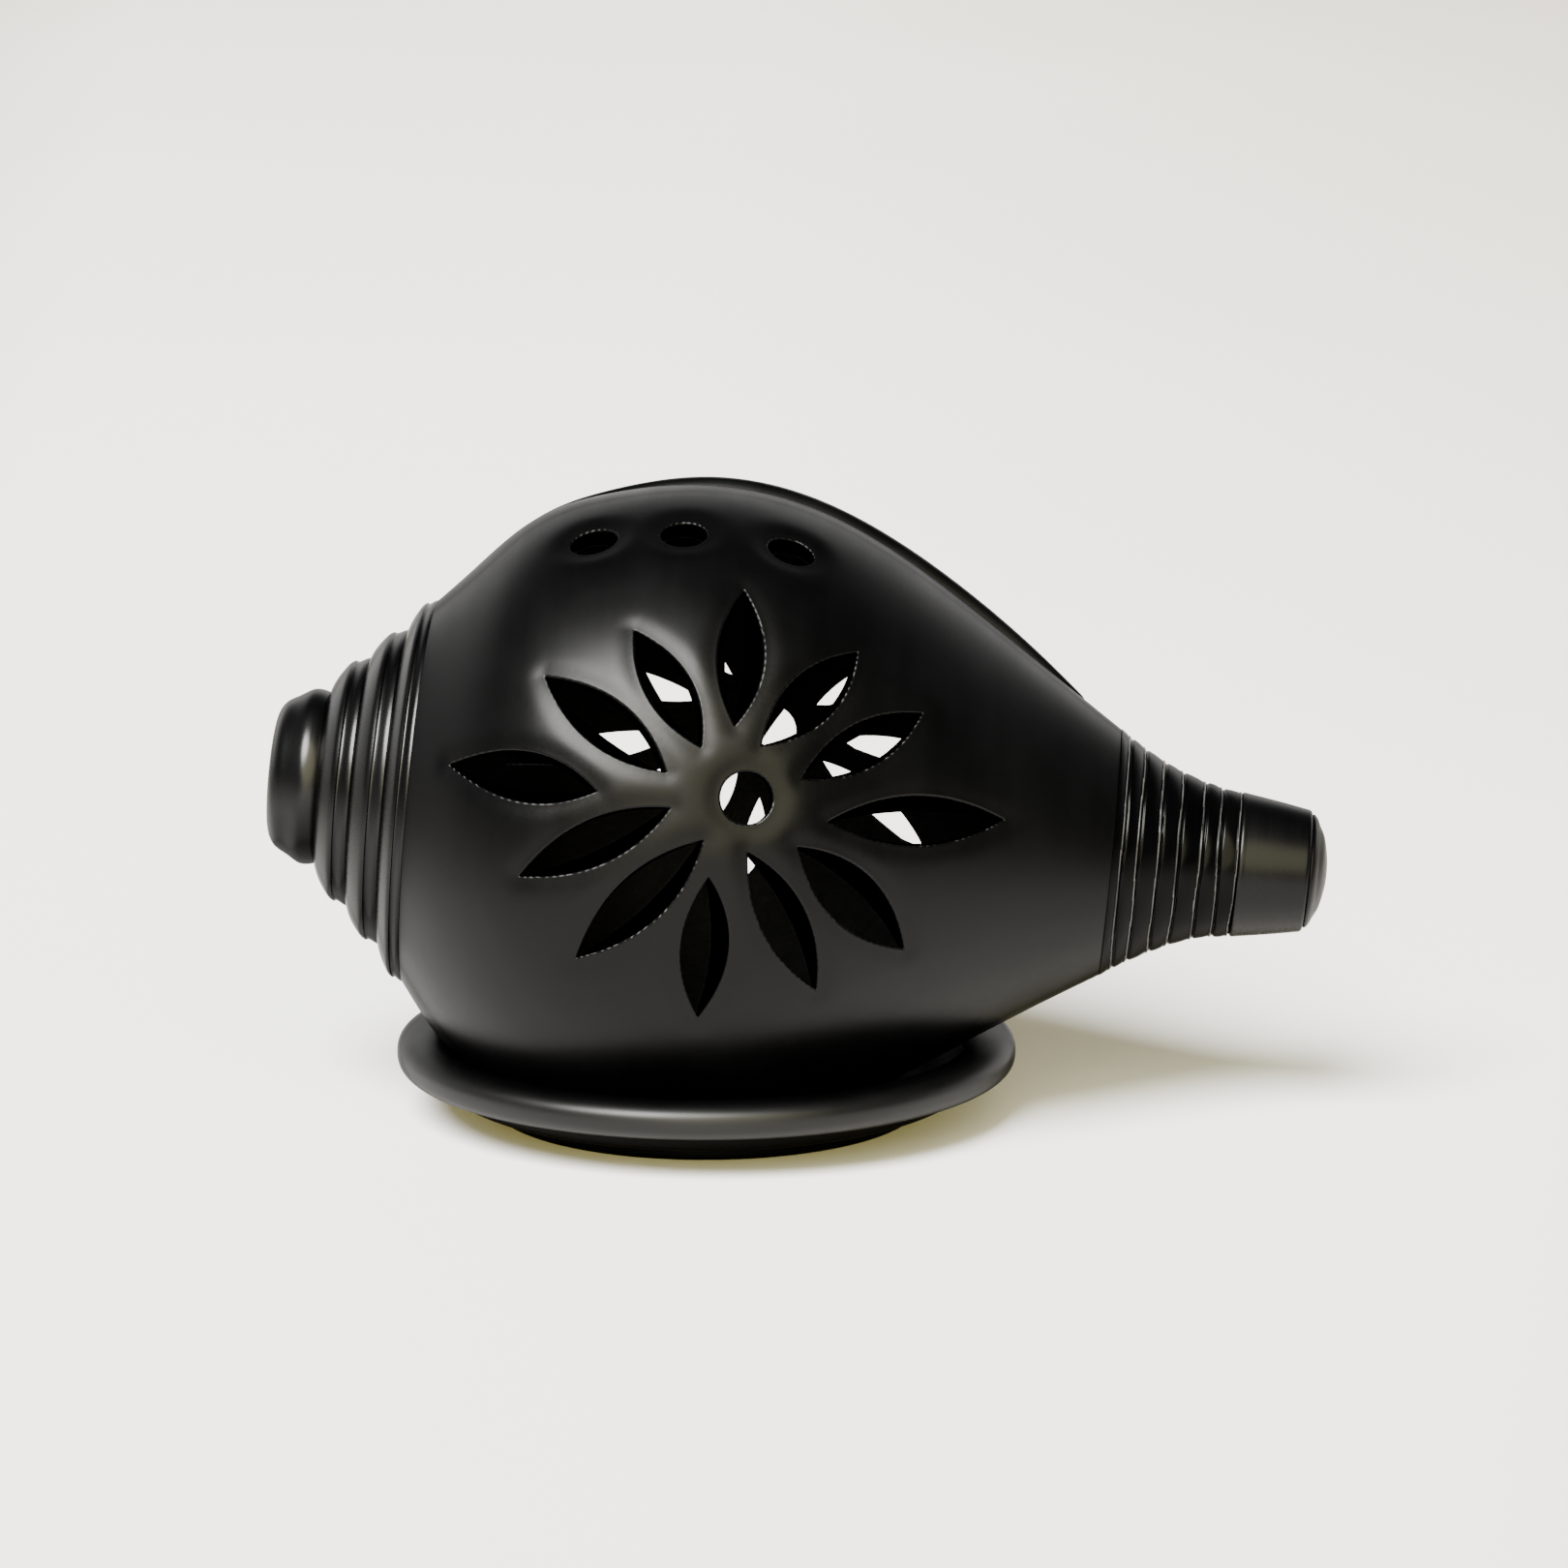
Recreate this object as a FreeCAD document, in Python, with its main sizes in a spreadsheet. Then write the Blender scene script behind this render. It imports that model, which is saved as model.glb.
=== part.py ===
import FreeCAD, Part
import os
from math import cos, radians, sin

import Sketcher
from FreeCAD import Placement, Rotation, Vector

# A pierced black clay candle cover in the form of a conch shell, lying on its side in a dish
# with a rolled rim. All sizes are millimetres. The document's origin is the centre of the
# dish's foot on the ground, +X runs under the shell from spire to spout, -Y is the flower side
# and +Z is up.
#
# The shell has a frame of its own. Its X axis is the shell's axis, measured from the outer face
# of the spire's knob, and it dips towards the spout. "Station" is a distance along that axis.

DIMENSIONS = [
    # shell frame and wall
    ("shell_x", -125.3, "knob face centre, along the ground from the dish centre"),
    ("shell_z", 97.2, "knob face centre, height"),
    ("shell_dip", 5.0, "dip of the shell's axis, degrees"),
    ("wall", 6.5, "thickness of the shell's wall"),
    # stations of the joints between the shell's luted pieces, and the outer radius at each
    ("tier_small_start", 15.4, "knob meets the small tier"),
    ("tier_middle_start", 25.9, "small tier meets the middle one"),
    ("tier_large_start", 36.0, "middle tier meets the large one"),
    ("belly_start", 43.7, "large tier meets the belly"),
    ("neck_start", 242.2, "belly meets the neck"),
    ("spout_start", 278.0, "neck meets the spout"),
    ("cap_start", 298.8, "spout meets its end cap"),
    ("shell_length", 304.4, "tip of the end cap"),
    ("knob_r", 25.4, "knob's widest radius"),
    ("knob_face_r", 20.0, "radius of the knob's face, inside its rounded corner"),
    ("knob_corner", 3.2, "depth of the knob's rounded corner"),
    ("tier_small_foot_r", 25.2, "small tier's radius at the knob"),
    ("tier_middle_foot_r", 35.9, "middle tier's radius at the small one"),
    ("tier_large_foot_r", 45.3, "large tier's radius at the middle one"),
    ("belly_start_r", 55.0, "radius where the belly leaves the large tier"),
    ("neck_start_r", 35.3, "radius where the neck leaves the belly"),
    ("spout_start_r", 20.7, "radius where the spout leaves the neck"),
    ("spout_end_r", 17.5, "spout's radius at its end cap"),
    ("cap_r", 16.6, "end cap's radius"),
    ("tier_small_drop", 0.3, "how far the small tier was luted below the shell's axis"),
    ("tier_middle_drop", 0.8, ""),
    ("tier_large_drop", 1.2, ""),
    ("belly_start_sag", 1.2, "drop of the belly's first ring, with the large tier"),
    # sections of the belly between its two ends: station, radius and sag of the soft clay
    ("shoulder_at", 51.4, "steep shoulder beside the spire"),
    ("shoulder_r", 64.1, ""),
    ("shoulder_sag", 2.2, ""),
    ("upper_at", 65.4, "upper slope"),
    ("upper_r", 78.2, ""),
    ("upper_sag", 1.7, ""),
    ("swell_at", 88.4, "where the belly turns over"),
    ("swell_r", 90.4, ""),
    ("swell_sag", 1.9, ""),
    ("crown_at", 118.4, "widest part"),
    ("crown_r", 94.4, ""),
    ("crown_sag", 0.5, ""),
    ("fall_at", 153.4, "start of the long taper"),
    ("fall_r", 88.6, ""),
    ("fall_sag", 0.0, ""),
    ("taper_at", 188.4, "middle of the taper"),
    ("taper_r", 70.3, ""),
    ("taper_sag", -0.7, ""),
    ("throat_at", 219.4, "last section before the neck"),
    ("throat_r", 49.9, ""),
    ("throat_sag", -0.6, ""),
    # the lip, a coil that stands proud of the belly behind its ridge line
    ("lip_from", 101.5, "angle from the flower side over the top where the lip starts, degrees"),
    ("lip_sweep", 13.0, "angle that the lip spans, degrees"),
    ("lip_rise", 3.4, "how far the lip stands proud at its thickest"),
    # piercings
    ("flower_at", 139.8, "station of the front flower's centre"),
    ("flower_up", 16.3, "angle of the front flower's centre above level, degrees"),
    ("flower_lean", 11.4, "lean of the front flower's face towards the spout, degrees"),
    ("back_flower_at", 141.4, "station of the back flower's centre"),
    ("back_flower_up", 5.5, "angle of the back flower's centre above level, degrees"),
    ("back_flower_lean", 11.4, "lean of the back flower's face towards the spout, degrees"),
    ("eye_r", 7.4, "radius of the round hole in a flower's centre"),
    ("vent_r", 6.6, "radius of the round vents over the candle"),
    ("vent_up", 69.9, "angle of the vents above level on the flower side, degrees"),
    # neck grooves
    ("groove_depth", 0.9, "depth of the grooves turned in the neck"),
    ("groove_width", 1.1, ""),
    # dish
    ("foot_r", 61.8, "foot ring's outer radius"),
    ("foot_bore_r", 50.0, "foot ring's inner radius"),
    ("foot_height", 3.5, ""),
    ("floor_z", 8.0, "top of the dish's floor"),
    ("floor_r", 65.5, "radius of the flat floor"),
    ("rim_r", 81.8, "rolled rim: radius of its centre line"),
    ("rim_z", 17.2, "rolled rim: height of its centre line"),
    ("rim_half_width", 7.7, ""),
    ("rim_half_height", 5.5, ""),
    # candle
    ("cup_r", 19.0, "tealight cup's radius"),
    ("cup_height", 15.0, ""),
    ("cup_wall", 0.3, ""),
    ("wax_height", 11.5, ""),
    ("wick_r", 0.8, ""),
    ("wick_proud", 6.0, "wick standing above the wax"),
    ("tab_r", 6.0, "wick tab's radius"),
    ("tab_thick", 0.4, ""),
]

# Petals are drawn flat on a plane that touches the shell at the flower's centre, u towards the
# spout and v up: tip (u, v), inner end (u, v), and width. Cutters go in square to that plane.
FRONT_PETALS = [
    ((-3, 59), (-5, 20), 13.0),
    ((30, 45), (3, 15), 14.0),
    ((50, 30), (15, 7), 12.6),
    ((77, 3), (24, -4), 14.0),
    ((52, -36), (16, -12), 15.4),
    ((28, -50), (2, -15), 13.2),
    ((-4, -61), (-8, -23), 13.4),
    ((-40, -48), (-11, -13), 14.0),
    ((-58, -27), (-21, -5), 12.6),
    ((-78, 3), (-41, -2), 14.0),
    ((-56, 29), (-23, 5), 13.4),
    ((-33, 44), (-14, 13), 12.6),
]
# The back flower's petals point out from its centre: direction in degrees, distance to the
# inner end and to the tip, and width.
BACK_PETALS = [
    (1, 19, 72, 12.6),
    (35, 15, 58, 11.0),
    (62, 18, 52, 11.0),
    (86, 19, 52, 11.0),
    (132, 18, 57, 13.4),
    (164, 21, 62, 14.0),
    (190, 28, 72, 13.4),
    (210, 18, 48, 11.0),
    (238, 17, 42, 9.0),
    (266, 21, 46, 10.0),
    (292, 18, 36, 9.0),
    (335, 16, 60, 11.4),
]
# How much of its outer bulge each side of a petal keeps at the inside of the wall. The knife
# leans, so the side first met when going round clockwise stays straight and the other slopes.
STRAIGHT_SIDE = 0.86
SLOPED_SIDE = 0.40
# A petal is widest a little nearer its tip than its inner end.
WIDEST_SHARE = 0.47
# How far a petal's cutter stands out of the wall on each side.
CUTTER_PROUD, CUTTER_DEEP = 1.5, 3.0
# The hollow's two ends pass the belly's own by this, and are this much narrower than the bores.
HOLLOW_OVERRUN = 1.0
HOLLOW_FIRST_TAPER, HOLLOW_LAST_TAPER = 0.8, 0.7
VENT_STATIONS = (88.5, 113.8, 144.5)
NECK_GROOVES = (244.8, 249.2, 255.0, 260.4, 267.0, 272.4)

doc = FreeCAD.newDocument("conch_candle_cover")
sheet = doc.addObject("Spreadsheet::Sheet", "sizes")


class Size:
    """A length that knows its number and the spreadsheet expression it comes from."""

    def __init__(self, number, text):
        self.number = number
        self.text = text

    def combined(self, other, sign, number):
        return Size(number, f"({self.text} {sign} {as_size(other).text})")

    def __add__(self, other):
        return self.combined(other, "+", self.number + as_size(other).number)

    def __sub__(self, other):
        return self.combined(other, "-", self.number - as_size(other).number)

    def __mul__(self, other):
        return self.combined(other, "*", self.number * as_size(other).number)


def as_size(value):
    return value if isinstance(value, Size) else Size(float(value), f"{float(value):.6f}")


def dim(alias):
    """The spreadsheet's size of that name."""
    return Size(float(sheet.get(alias)), f"sizes.{alias}")


def fill_sheet():
    for row, (alias, value, meaning) in enumerate(DIMENSIONS, start=1):
        sheet.set(f"A{row}", meaning or alias.replace("_", " "))
        sheet.set(f"B{row}", str(value))
        sheet.setAlias(f"B{row}", alias)
    doc.recompute()


def bind(item, name, value):
    """Sets a property from a size, and binds it to the spreadsheet."""
    value = as_size(value)
    if value.text.startswith("sizes") or value.text.startswith("("):
        item.setExpression(name, value.text)
    else:
        setattr(item, name, value.number)


# ---------------------------------------------------------------- sketches


def pin_point(sketch, geometry, position, point):
    """Holds a sketch point at its two sizes."""
    for axis, kind, size in ((-2, "DistanceX", point[0]), (-1, "DistanceY", point[1])):
        size = as_size(size)
        if size.number == 0:
            sketch.addConstraint(Sketcher.Constraint("PointOnObject", geometry, position, axis))
            continue
        held = sketch.addConstraint(
            Sketcher.Constraint(kind, -1, 1, geometry, position, size.number)
        )
        sketch.setExpression(f"Constraints[{held}]", size.text)


def flat(point):
    return Vector(as_size(point[0]).number, as_size(point[1]).number, 0)


def draw_outline(sketch, start, steps):
    """A closed outline. A step is (x, y), a straight run, or (via, (x, y)), an arc through via.
    A last straight run goes back to the start."""
    ends = []
    here = start
    for step in steps + [start]:
        is_arc = isinstance(step[0], tuple)
        there = step[1] if is_arc else step
        if is_arc:
            via = step[0]
            p, q, r = flat(here), flat(via), flat(there)
            turns_left = (q - p).cross(r - q).z > 0
            arc = Part.Arc(p, q, r) if turns_left else Part.Arc(r, q, p)
            edge = sketch.addGeometry(arc)
            mark = sketch.addGeometry(Part.Point(q), True)
            sketch.addConstraint(Sketcher.Constraint("PointOnObject", mark, 1, edge))
            pin_point(sketch, mark, 1, via)
            ends.append((edge, 1, 2) if turns_left else (edge, 2, 1))
        else:
            edge = sketch.addGeometry(Part.LineSegment(flat(here), flat(there)))
            ends.append((edge, 1, 2))
        pin_point(sketch, edge, ends[-1][1], here)
        here = there
    for (edge, _, finish), (following, begin, _) in zip(ends, ends[1:] + ends[:1]):
        sketch.addConstraint(Sketcher.Constraint("Coincident", edge, finish, following, begin))


def turned(name, start, steps, about="H_Axis"):
    """A body turned about the sketch's horizontal or vertical axis."""
    body = doc.addObject("PartDesign::Body", name)
    body.Label = name
    sketch = body.newObject("Sketcher::SketchObject", f"{name}_outline")
    plane = next(f for f in body.Origin.OriginFeatures if f.Role == "XZ_Plane")
    sketch.AttachmentSupport = [(plane, "")]
    sketch.MapMode = "FlatFace"
    draw_outline(sketch, start, steps)
    turn = body.newObject("PartDesign::Revolution", f"{name}_turned")
    turn.Profile = sketch
    turn.ReferenceAxis = (sketch, [about])
    turn.Angle = 360
    return body


def dip_share(function):
    """The sine or the cosine of the shell's dip, with its expression."""
    angle = radians(dim("shell_dip").number)
    return Size(function(angle), f"{function.__name__}(sizes.shell_dip)")


def place_in_shell(item, drop=0):
    """Moves an object from the shell's frame to where the shell lies. A drop is square to the
    shell's axis, so joints stay closed."""
    item.Placement = Placement(Vector(1, 0, 1), Rotation(Vector(0, 1, 0), 5))
    bind(item, "Placement.Base.x", dim("shell_x") - dip_share(sin) * drop)
    bind(item, "Placement.Base.z", dim("shell_z") - dip_share(cos) * drop)
    item.setExpression("Placement.Rotation.Angle", "sizes.shell_dip")
    return item


# ---------------------------------------------------------------- spire


def bore_radius(foot_r):
    """The hollow's radius behind a joint whose outer radius is foot_r."""
    return foot_r - dim("wall")


def spire_knob():
    """A stub with a nearly flat face and a rounded corner, hollow behind its face."""
    face, corner = dim("knob_face_r"), dim("knob_corner")
    end, foot = dim("tier_small_start"), dim("tier_small_foot_r")
    hollow = bore_radius(foot)
    steps = [
        (corner * 0.1, face * 0.6),
        ((corner * 0.35, face * 0.93), (corner * 1.15, face * 1.06)),
        (corner * 3.2, face * 1.22),
        ((corner * 4, dim("knob_r")), (end, foot)),
        (end, hollow),
        (dim("wall"), hollow - 4),
        (dim("wall"), 0),
    ]
    return place_in_shell(turned("spire_knob", (0, 0), steps))


def spire_tier(name, drop, start, end, foot_r, top_r):
    """One rounded step: a bulge that rises steeply, then a shallow cove up to the next joint."""
    length, rise = end - start, top_r - foot_r
    crest = (start + length * 0.62, foot_r + rise * 0.85)
    steps = [
        ((start + length * 0.3, foot_r + rise * 0.52), crest),
        ((start + length * 0.83, foot_r + rise * 0.965), (end, top_r)),
        (end, bore_radius(top_r)),
        (start, bore_radius(foot_r)),
    ]
    return place_in_shell(turned(name, (start, foot_r), steps), drop)


def spire():
    """The knob and the three tiers that widen from it to the belly."""
    joints = [
        (dim("tier_small_start"), dim("tier_small_foot_r")),
        (dim("tier_middle_start"), dim("tier_middle_foot_r")),
        (dim("tier_large_start"), dim("tier_large_foot_r")),
        (dim("belly_start"), dim("belly_start_r")),
    ]
    tiers = [
        spire_tier(f"spire_tier_{size}", dim(f"tier_{size}_drop"), start, end, foot_r, top_r)
        for size, (start, foot_r), (end, top_r) in zip(
            ("small", "middle", "large"), joints, joints[1:]
        )
    ]
    return [spire_knob()] + tiers


# ---------------------------------------------------------------- neck and spout


def neck():
    """A waisted sleeve with shallow bands between turned grooves, bored like the shell."""
    start, end = dim("neck_start"), dim("spout_start")
    start_r, end_r = dim("neck_start_r"), dim("spout_start_r")
    length, drop = end - start, start_r - end_r
    steps = []
    # The silhouette falls as a flat parabola that meets the spout almost level.
    reach = end.number - start.number

    def outer(station):
        share = (station - start.number) / reach
        return end_r + drop * ((1 - share) ** 1.75 + 0.06 * share * (1 - share))

    half = dim("groove_width") * 0.5
    before = start.number
    for middle in NECK_GROOVES:
        edge, far = middle - half.number, middle + half.number
        band = (before + edge) / 2
        swell = (band, outer(band) + 0.25)
        steps.append((swell, (as_size(edge), outer(edge))))
        steps.append((as_size(middle), outer(middle) - dim("groove_depth")))
        steps.append((as_size(far), outer(far)))
        before = far
    band = (before + end.number) / 2
    steps.append(((band, outer(band) + 0.2), (end, end_r)))
    steps += [
        (end, bore_radius(end_r)),
        ((start + length * 0.42, bore_radius(end_r + drop * 0.36)), (start, bore_radius(start_r))),
    ]
    return place_in_shell(turned("neck", (start, start_r), steps))


def spout():
    """The plain tapering tube after the neck, its end edge eased where the cap is luted on."""
    start, end = dim("spout_start"), dim("cap_start")
    start_r, end_r = dim("spout_start_r"), dim("spout_end_r")
    steps = [
        (end - 0.8, end_r),
        ((end - 0.2, end_r - 0.2), (end, dim("cap_r") - 0.4)),
        (end, bore_radius(end_r)),
        (start, bore_radius(start_r)),
    ]
    return place_in_shell(turned("spout", (start, start_r), steps))


def spout_cap():
    """The domed lid luted into the spout's end, with a rounded shoulder."""
    start, tip, r = dim("cap_start"), dim("shell_length"), dim("cap_r")
    height = tip - start
    steps = [
        (start, r - 0.4),
        ((start + height * 0.1, r - 0.05), (start + height * 0.25, r - 0.7)),
        ((start + height * 0.66, r * 0.7), (start + height * 0.96, r * 0.28)),
        (tip, 0),
    ]
    return place_in_shell(turned("spout_cap", (start, 0), steps))


# ---------------------------------------------------------------- belly


def belly_sections():
    """(station, radius, sag) of each ring that the belly's outside is drawn through."""
    names = ("shoulder", "upper", "swell", "crown", "fall", "taper", "throat")
    middle = [(dim(f"{n}_at"), dim(f"{n}_r"), dim(f"{n}_sag")) for n in names]
    first = (dim("belly_start"), dim("belly_start_r"), dim("belly_start_sag"))
    last = (dim("neck_start"), dim("neck_start_r"), as_size(0))
    return [first] + middle + [last]


def ring(name, station, radius, sag):
    """A circle round the shell's axis, dropped by its sag."""
    circle = doc.addObject("Part::Circle", name)
    circle.Placement = Placement(Vector(1, 0, 1), Rotation(Vector(0, 1, 0), 90))
    bind(circle, "Radius", radius)
    bind(circle, "Placement.Base.x", station)
    bind(circle, "Placement.Base.z", as_size(0) - sag)
    return circle


def loft(name, rings):
    """A solid drawn smoothly through the rings."""
    solid = doc.addObject("Part::Loft", name)
    solid.Sections = rings
    solid.Solid = True
    return solid


def slope_shares(sections):
    """How much thicker the wall measures square to the axis than square to itself, per ring."""
    shares = []
    for i, (station, _, _) in enumerate(sections):
        a, b = sections[max(i - 1, 0)], sections[min(i + 1, len(sections) - 1)]
        slope = (b[1].number - a[1].number) / (b[0].number - a[0].number)
        shares.append((1 + slope * slope) ** 0.5)
    return shares


def belly_outside():
    rings = [ring(f"outer_ring_{i}", *s) for i, s in enumerate(belly_sections())]
    return loft("belly_outside", rings)


def belly_inside():
    """The hollow. Its two ends pass the belly's own, at the bores of the pieces luted there."""
    sections = belly_sections()
    shares = slope_shares(sections)
    rings = []
    for i, (station, radius, sag) in enumerate(sections):
        if i == 0:
            station, radius = station - HOLLOW_OVERRUN, bore_radius(radius) - HOLLOW_FIRST_TAPER
        elif i == len(sections) - 1:
            station, radius = station + HOLLOW_OVERRUN, bore_radius(radius) - HOLLOW_LAST_TAPER
        else:
            radius = radius - dim("wall") * shares[i]
        rings.append(ring(f"inner_ring_{i}", station, radius, sag))
    return loft("belly_inside", rings)


def entry(solid, point, direction):
    """Where a line through the point, going along the direction, first enters the solid."""
    line = Part.makeLine(point - direction * 60, point + direction * 120)
    crossings = solid.common(line).Vertexes
    return min((v.Point for v in crossings), key=lambda p: (p - point).dot(direction))


class FlowerPlane:
    """The drawing plane of a flower: its centre, its u and v directions and its outward normal."""

    def __init__(self, outside, station, up, lean, side):
        radial = Vector(0, side * cos(up), sin(up))
        along = Vector(1, 0, 0)
        self.normal = radial * cos(lean) + along * sin(lean)
        self.u = along * cos(lean) - radial * sin(lean)
        self.v = Vector(0, -side * sin(up), cos(up))
        self.centre = entry(outside, Vector(station, 0, 0) + radial * 100, radial * -1)

    def point(self, uv):
        return self.centre + self.u * uv[0] + self.v * uv[1]


def lens_points(tip, end, width, clockwise, other, turn):
    """Tip, bulge, inner end, bulge of a petal, each bulge times its own share of the width."""
    run = Vector(end[0] - tip[0], end[1] - tip[1], 0)
    across = Vector(-run.y, run.x, 0).normalize() * (width / 2 * turn)
    middle = Vector(tip[0], tip[1], 0) + run * WIDEST_SHARE
    sides = (middle + across * clockwise, middle - across * other)
    return [tip, (sides[0].x, sides[0].y), end, (sides[1].x, sides[1].y)]


def petal_cutter(outside, inside, plane, tip, end, width, turn):
    """A tapered wedge whose edges meet the wall's outside and inside in two petal outlines."""
    into = plane.normal * -1
    outer = [
        entry(outside, plane.point(p), into) for p in lens_points(tip, end, width, 1, 1, turn)
    ]
    inner = [
        entry(inside, plane.point(p), into)
        for p in lens_points(tip, end, width, STRAIGHT_SIDE, SLOPED_SIDE, turn)
    ]
    facing = (outer[0] - outer[2]).cross(outer[1] - outer[3]).normalize()
    if facing.dot(plane.normal) < 0:
        facing = facing * -1
    wires = []
    for level in (
        max(p.dot(facing) for p in outer) + CUTTER_PROUD,
        min(p.dot(facing) for p in inner) - CUTTER_DEEP,
    ):
        corners = []
        for p, q in zip(outer, inner):
            share = (level - p.dot(facing)) / (q - p).dot(facing)
            corners.append(p + (q - p) * share)
        a, b, c, d = corners
        wires.append(Part.Wire([Part.Arc(a, b, c).toShape(), Part.Arc(c, d, a).toShape()]))
    return Part.makeLoft(wires, True, True)


def eye_cutter(outside, plane):
    """The round hole in a flower's centre, square to the wall."""
    start = plane.centre + plane.normal * 10
    return Part.makeCylinder(float(sheet.get("eye_r")), 30, start, plane.normal * -1)


def flower_cutters(outside, inside):
    """Both flowers' cutting tools, as one shape."""
    front = FlowerPlane(
        outside,
        dim("flower_at").number,
        radians(dim("flower_up").number),
        radians(dim("flower_lean").number),
        -1,
    )
    back = FlowerPlane(
        outside,
        dim("back_flower_at").number,
        radians(dim("back_flower_up").number),
        radians(dim("back_flower_lean").number),
        1,
    )
    tools = [eye_cutter(outside, front), eye_cutter(outside, back)]
    for tip, end, width in FRONT_PETALS:
        tools.append(petal_cutter(outside, inside, front, tip, end, width, 1))
    for direction, near, far, width in BACK_PETALS:
        ray = (cos(radians(direction)), sin(radians(direction)))
        tip, end = (ray[0] * far, ray[1] * far), (ray[0] * near, ray[1] * near)
        tools.append(petal_cutter(outside, inside, back, tip, end, width, -1))
    cutters = doc.addObject("Part::Feature", "flower_cutters")
    cutters.Shape = tools[0].multiFuse(tools[1:])
    return cutters


def vent_cutters():
    """Round vents square to the wall, in a row over the candle."""
    vents = []
    for i, station in enumerate(VENT_STATIONS):
        vent = doc.addObject("Part::Cylinder", f"vent_{i}")
        bind(vent, "Radius", dim("vent_r"))
        vent.Height = 120
        vent.Placement = Placement(Vector(station, 0, 0), Rotation(Vector(1, 0, 0), 21))
        vent.setExpression("Placement.Rotation.Angle", "90 - sizes.vent_up")
        vents.append(vent)
    joined = doc.addObject("Part::MultiFuse", "vent_cutters")
    joined.Shapes = vents
    return joined


def cut(name, base, tool):
    """The base with the tool taken away."""
    result = doc.addObject("Part::Cut", name)
    result.Base = base
    result.Tool = tool
    return result


def belly(outside, inside):
    """The hollow body, pierced, and cut off level where it stands on the dish's floor."""
    hollow = cut("belly_hollow", outside, inside)
    flowers = cut("belly_flowers", hollow, flower_cutters(outside.Shape, inside.Shape))
    pierced = place_in_shell(cut("belly_pierced", flowers, vent_cutters()))
    ground = doc.addObject("Part::Box", "below_the_floor")
    ground.Length, ground.Width, ground.Height = 400, 300, 100
    ground.Placement = Placement(Vector(-200, -150, 0), Rotation())
    bind(ground, "Placement.Base.z", dim("floor_z") - 100)
    whole = cut("belly", pierced, ground)
    whole.Label = "belly"
    return whole


def back_lip(outside):
    """A crescent coil laid along the back of the ridge, thickest past the middle of the taper."""
    shares = (-0.9, -0.5, 0.1, 0.4, 0.9, 0.95, 1.0, 0.6, -1.0)
    rings = [
        ring(f"lip_ring_{i}", station, radius + dim("lip_rise") * share, sag)
        for i, ((station, radius, sag), share) in enumerate(zip(belly_sections(), shares))
    ]
    crescent = cut("lip_crescent", loft("lip_outside", rings), outside)
    sector = doc.addObject("Part::Cylinder", "lip_sector")
    sector.Radius = 130
    bind(sector, "Angle", dim("lip_sweep"))
    bind(sector, "Height", dim("neck_start") - dim("belly_start"))
    # The sector starts at this ray and opens towards the back; its own axis runs to the spire.
    first = radians(dim("lip_from").number)
    ray = Vector(0, -cos(first), sin(first))
    opening = Vector(0, sin(first), cos(first))
    turn = Rotation(ray, opening, Vector(-1, 0, 0), "XYZ")
    sector.Placement = Placement(Vector(1, 0, 0), turn)
    bind(sector, "Placement.Base.x", dim("neck_start"))
    lip = doc.addObject("Part::Common", "back_lip")
    lip.Base = crescent
    lip.Tool = sector
    lip.Label = "back_lip"
    return place_in_shell(lip)


# ---------------------------------------------------------------- dish


def rim_roll():
    """The rolled rim, a ring of flattened round section."""
    section = doc.addObject("Part::Ellipse", "rim_section")
    section.Placement = Placement(Vector(1, 0, 1), Rotation(Vector(1, 0, 0), 90))
    bind(section, "MajorRadius", dim("rim_half_width"))
    bind(section, "MinorRadius", dim("rim_half_height"))
    bind(section, "Placement.Base.x", dim("rim_r"))
    bind(section, "Placement.Base.z", dim("rim_z"))
    roll = doc.addObject("Part::Revolution", "rim_roll")
    roll.Source = section
    roll.Axis = Vector(0, 0, 1)
    roll.Angle = 360
    roll.Solid = True
    roll.Label = "rim_roll"
    return roll


def dish_bowl(roll):
    """The saucer: a flat floor and a short curved wall that ends against the rolled rim."""
    floor, base = dim("floor_z"), dim("foot_height")
    edge_r, rim_r, rim_z = dim("floor_r"), dim("rim_r"), dim("rim_z")
    steps = [
        (dim("foot_r") + 1.5, base),
        ((rim_r - 8.5, base + 2.6), (rim_r - 0.5, rim_z - 3.5)),
        (rim_r - 0.5, rim_z),
        (rim_r - 6.0, rim_z),
        (rim_r - 6.8, rim_z - 2.5),
        ((edge_r + 6.6, floor + 2.4), (edge_r, floor)),
        (0, floor),
    ]
    blank = turned("dish_blank", (0, base), steps, about="V_Axis")
    bowl = cut("dish_bowl", blank, roll)
    bowl.Label = "dish_bowl"
    return bowl


def foot_ring():
    """The low ring that the dish stands on, its outer edge eased."""
    top, outer, inner = dim("foot_height"), dim("foot_r"), dim("foot_bore_r")
    steps = [
        (outer - 0.8, 0),
        ((outer - 0.2, 0.25), (outer, 0.9)),
        (outer - 0.4, top),
        (inner - 0.6, top),
    ]
    return turned("foot_ring", (inner, 0), steps, about="V_Axis")


# ---------------------------------------------------------------- candle


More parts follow.
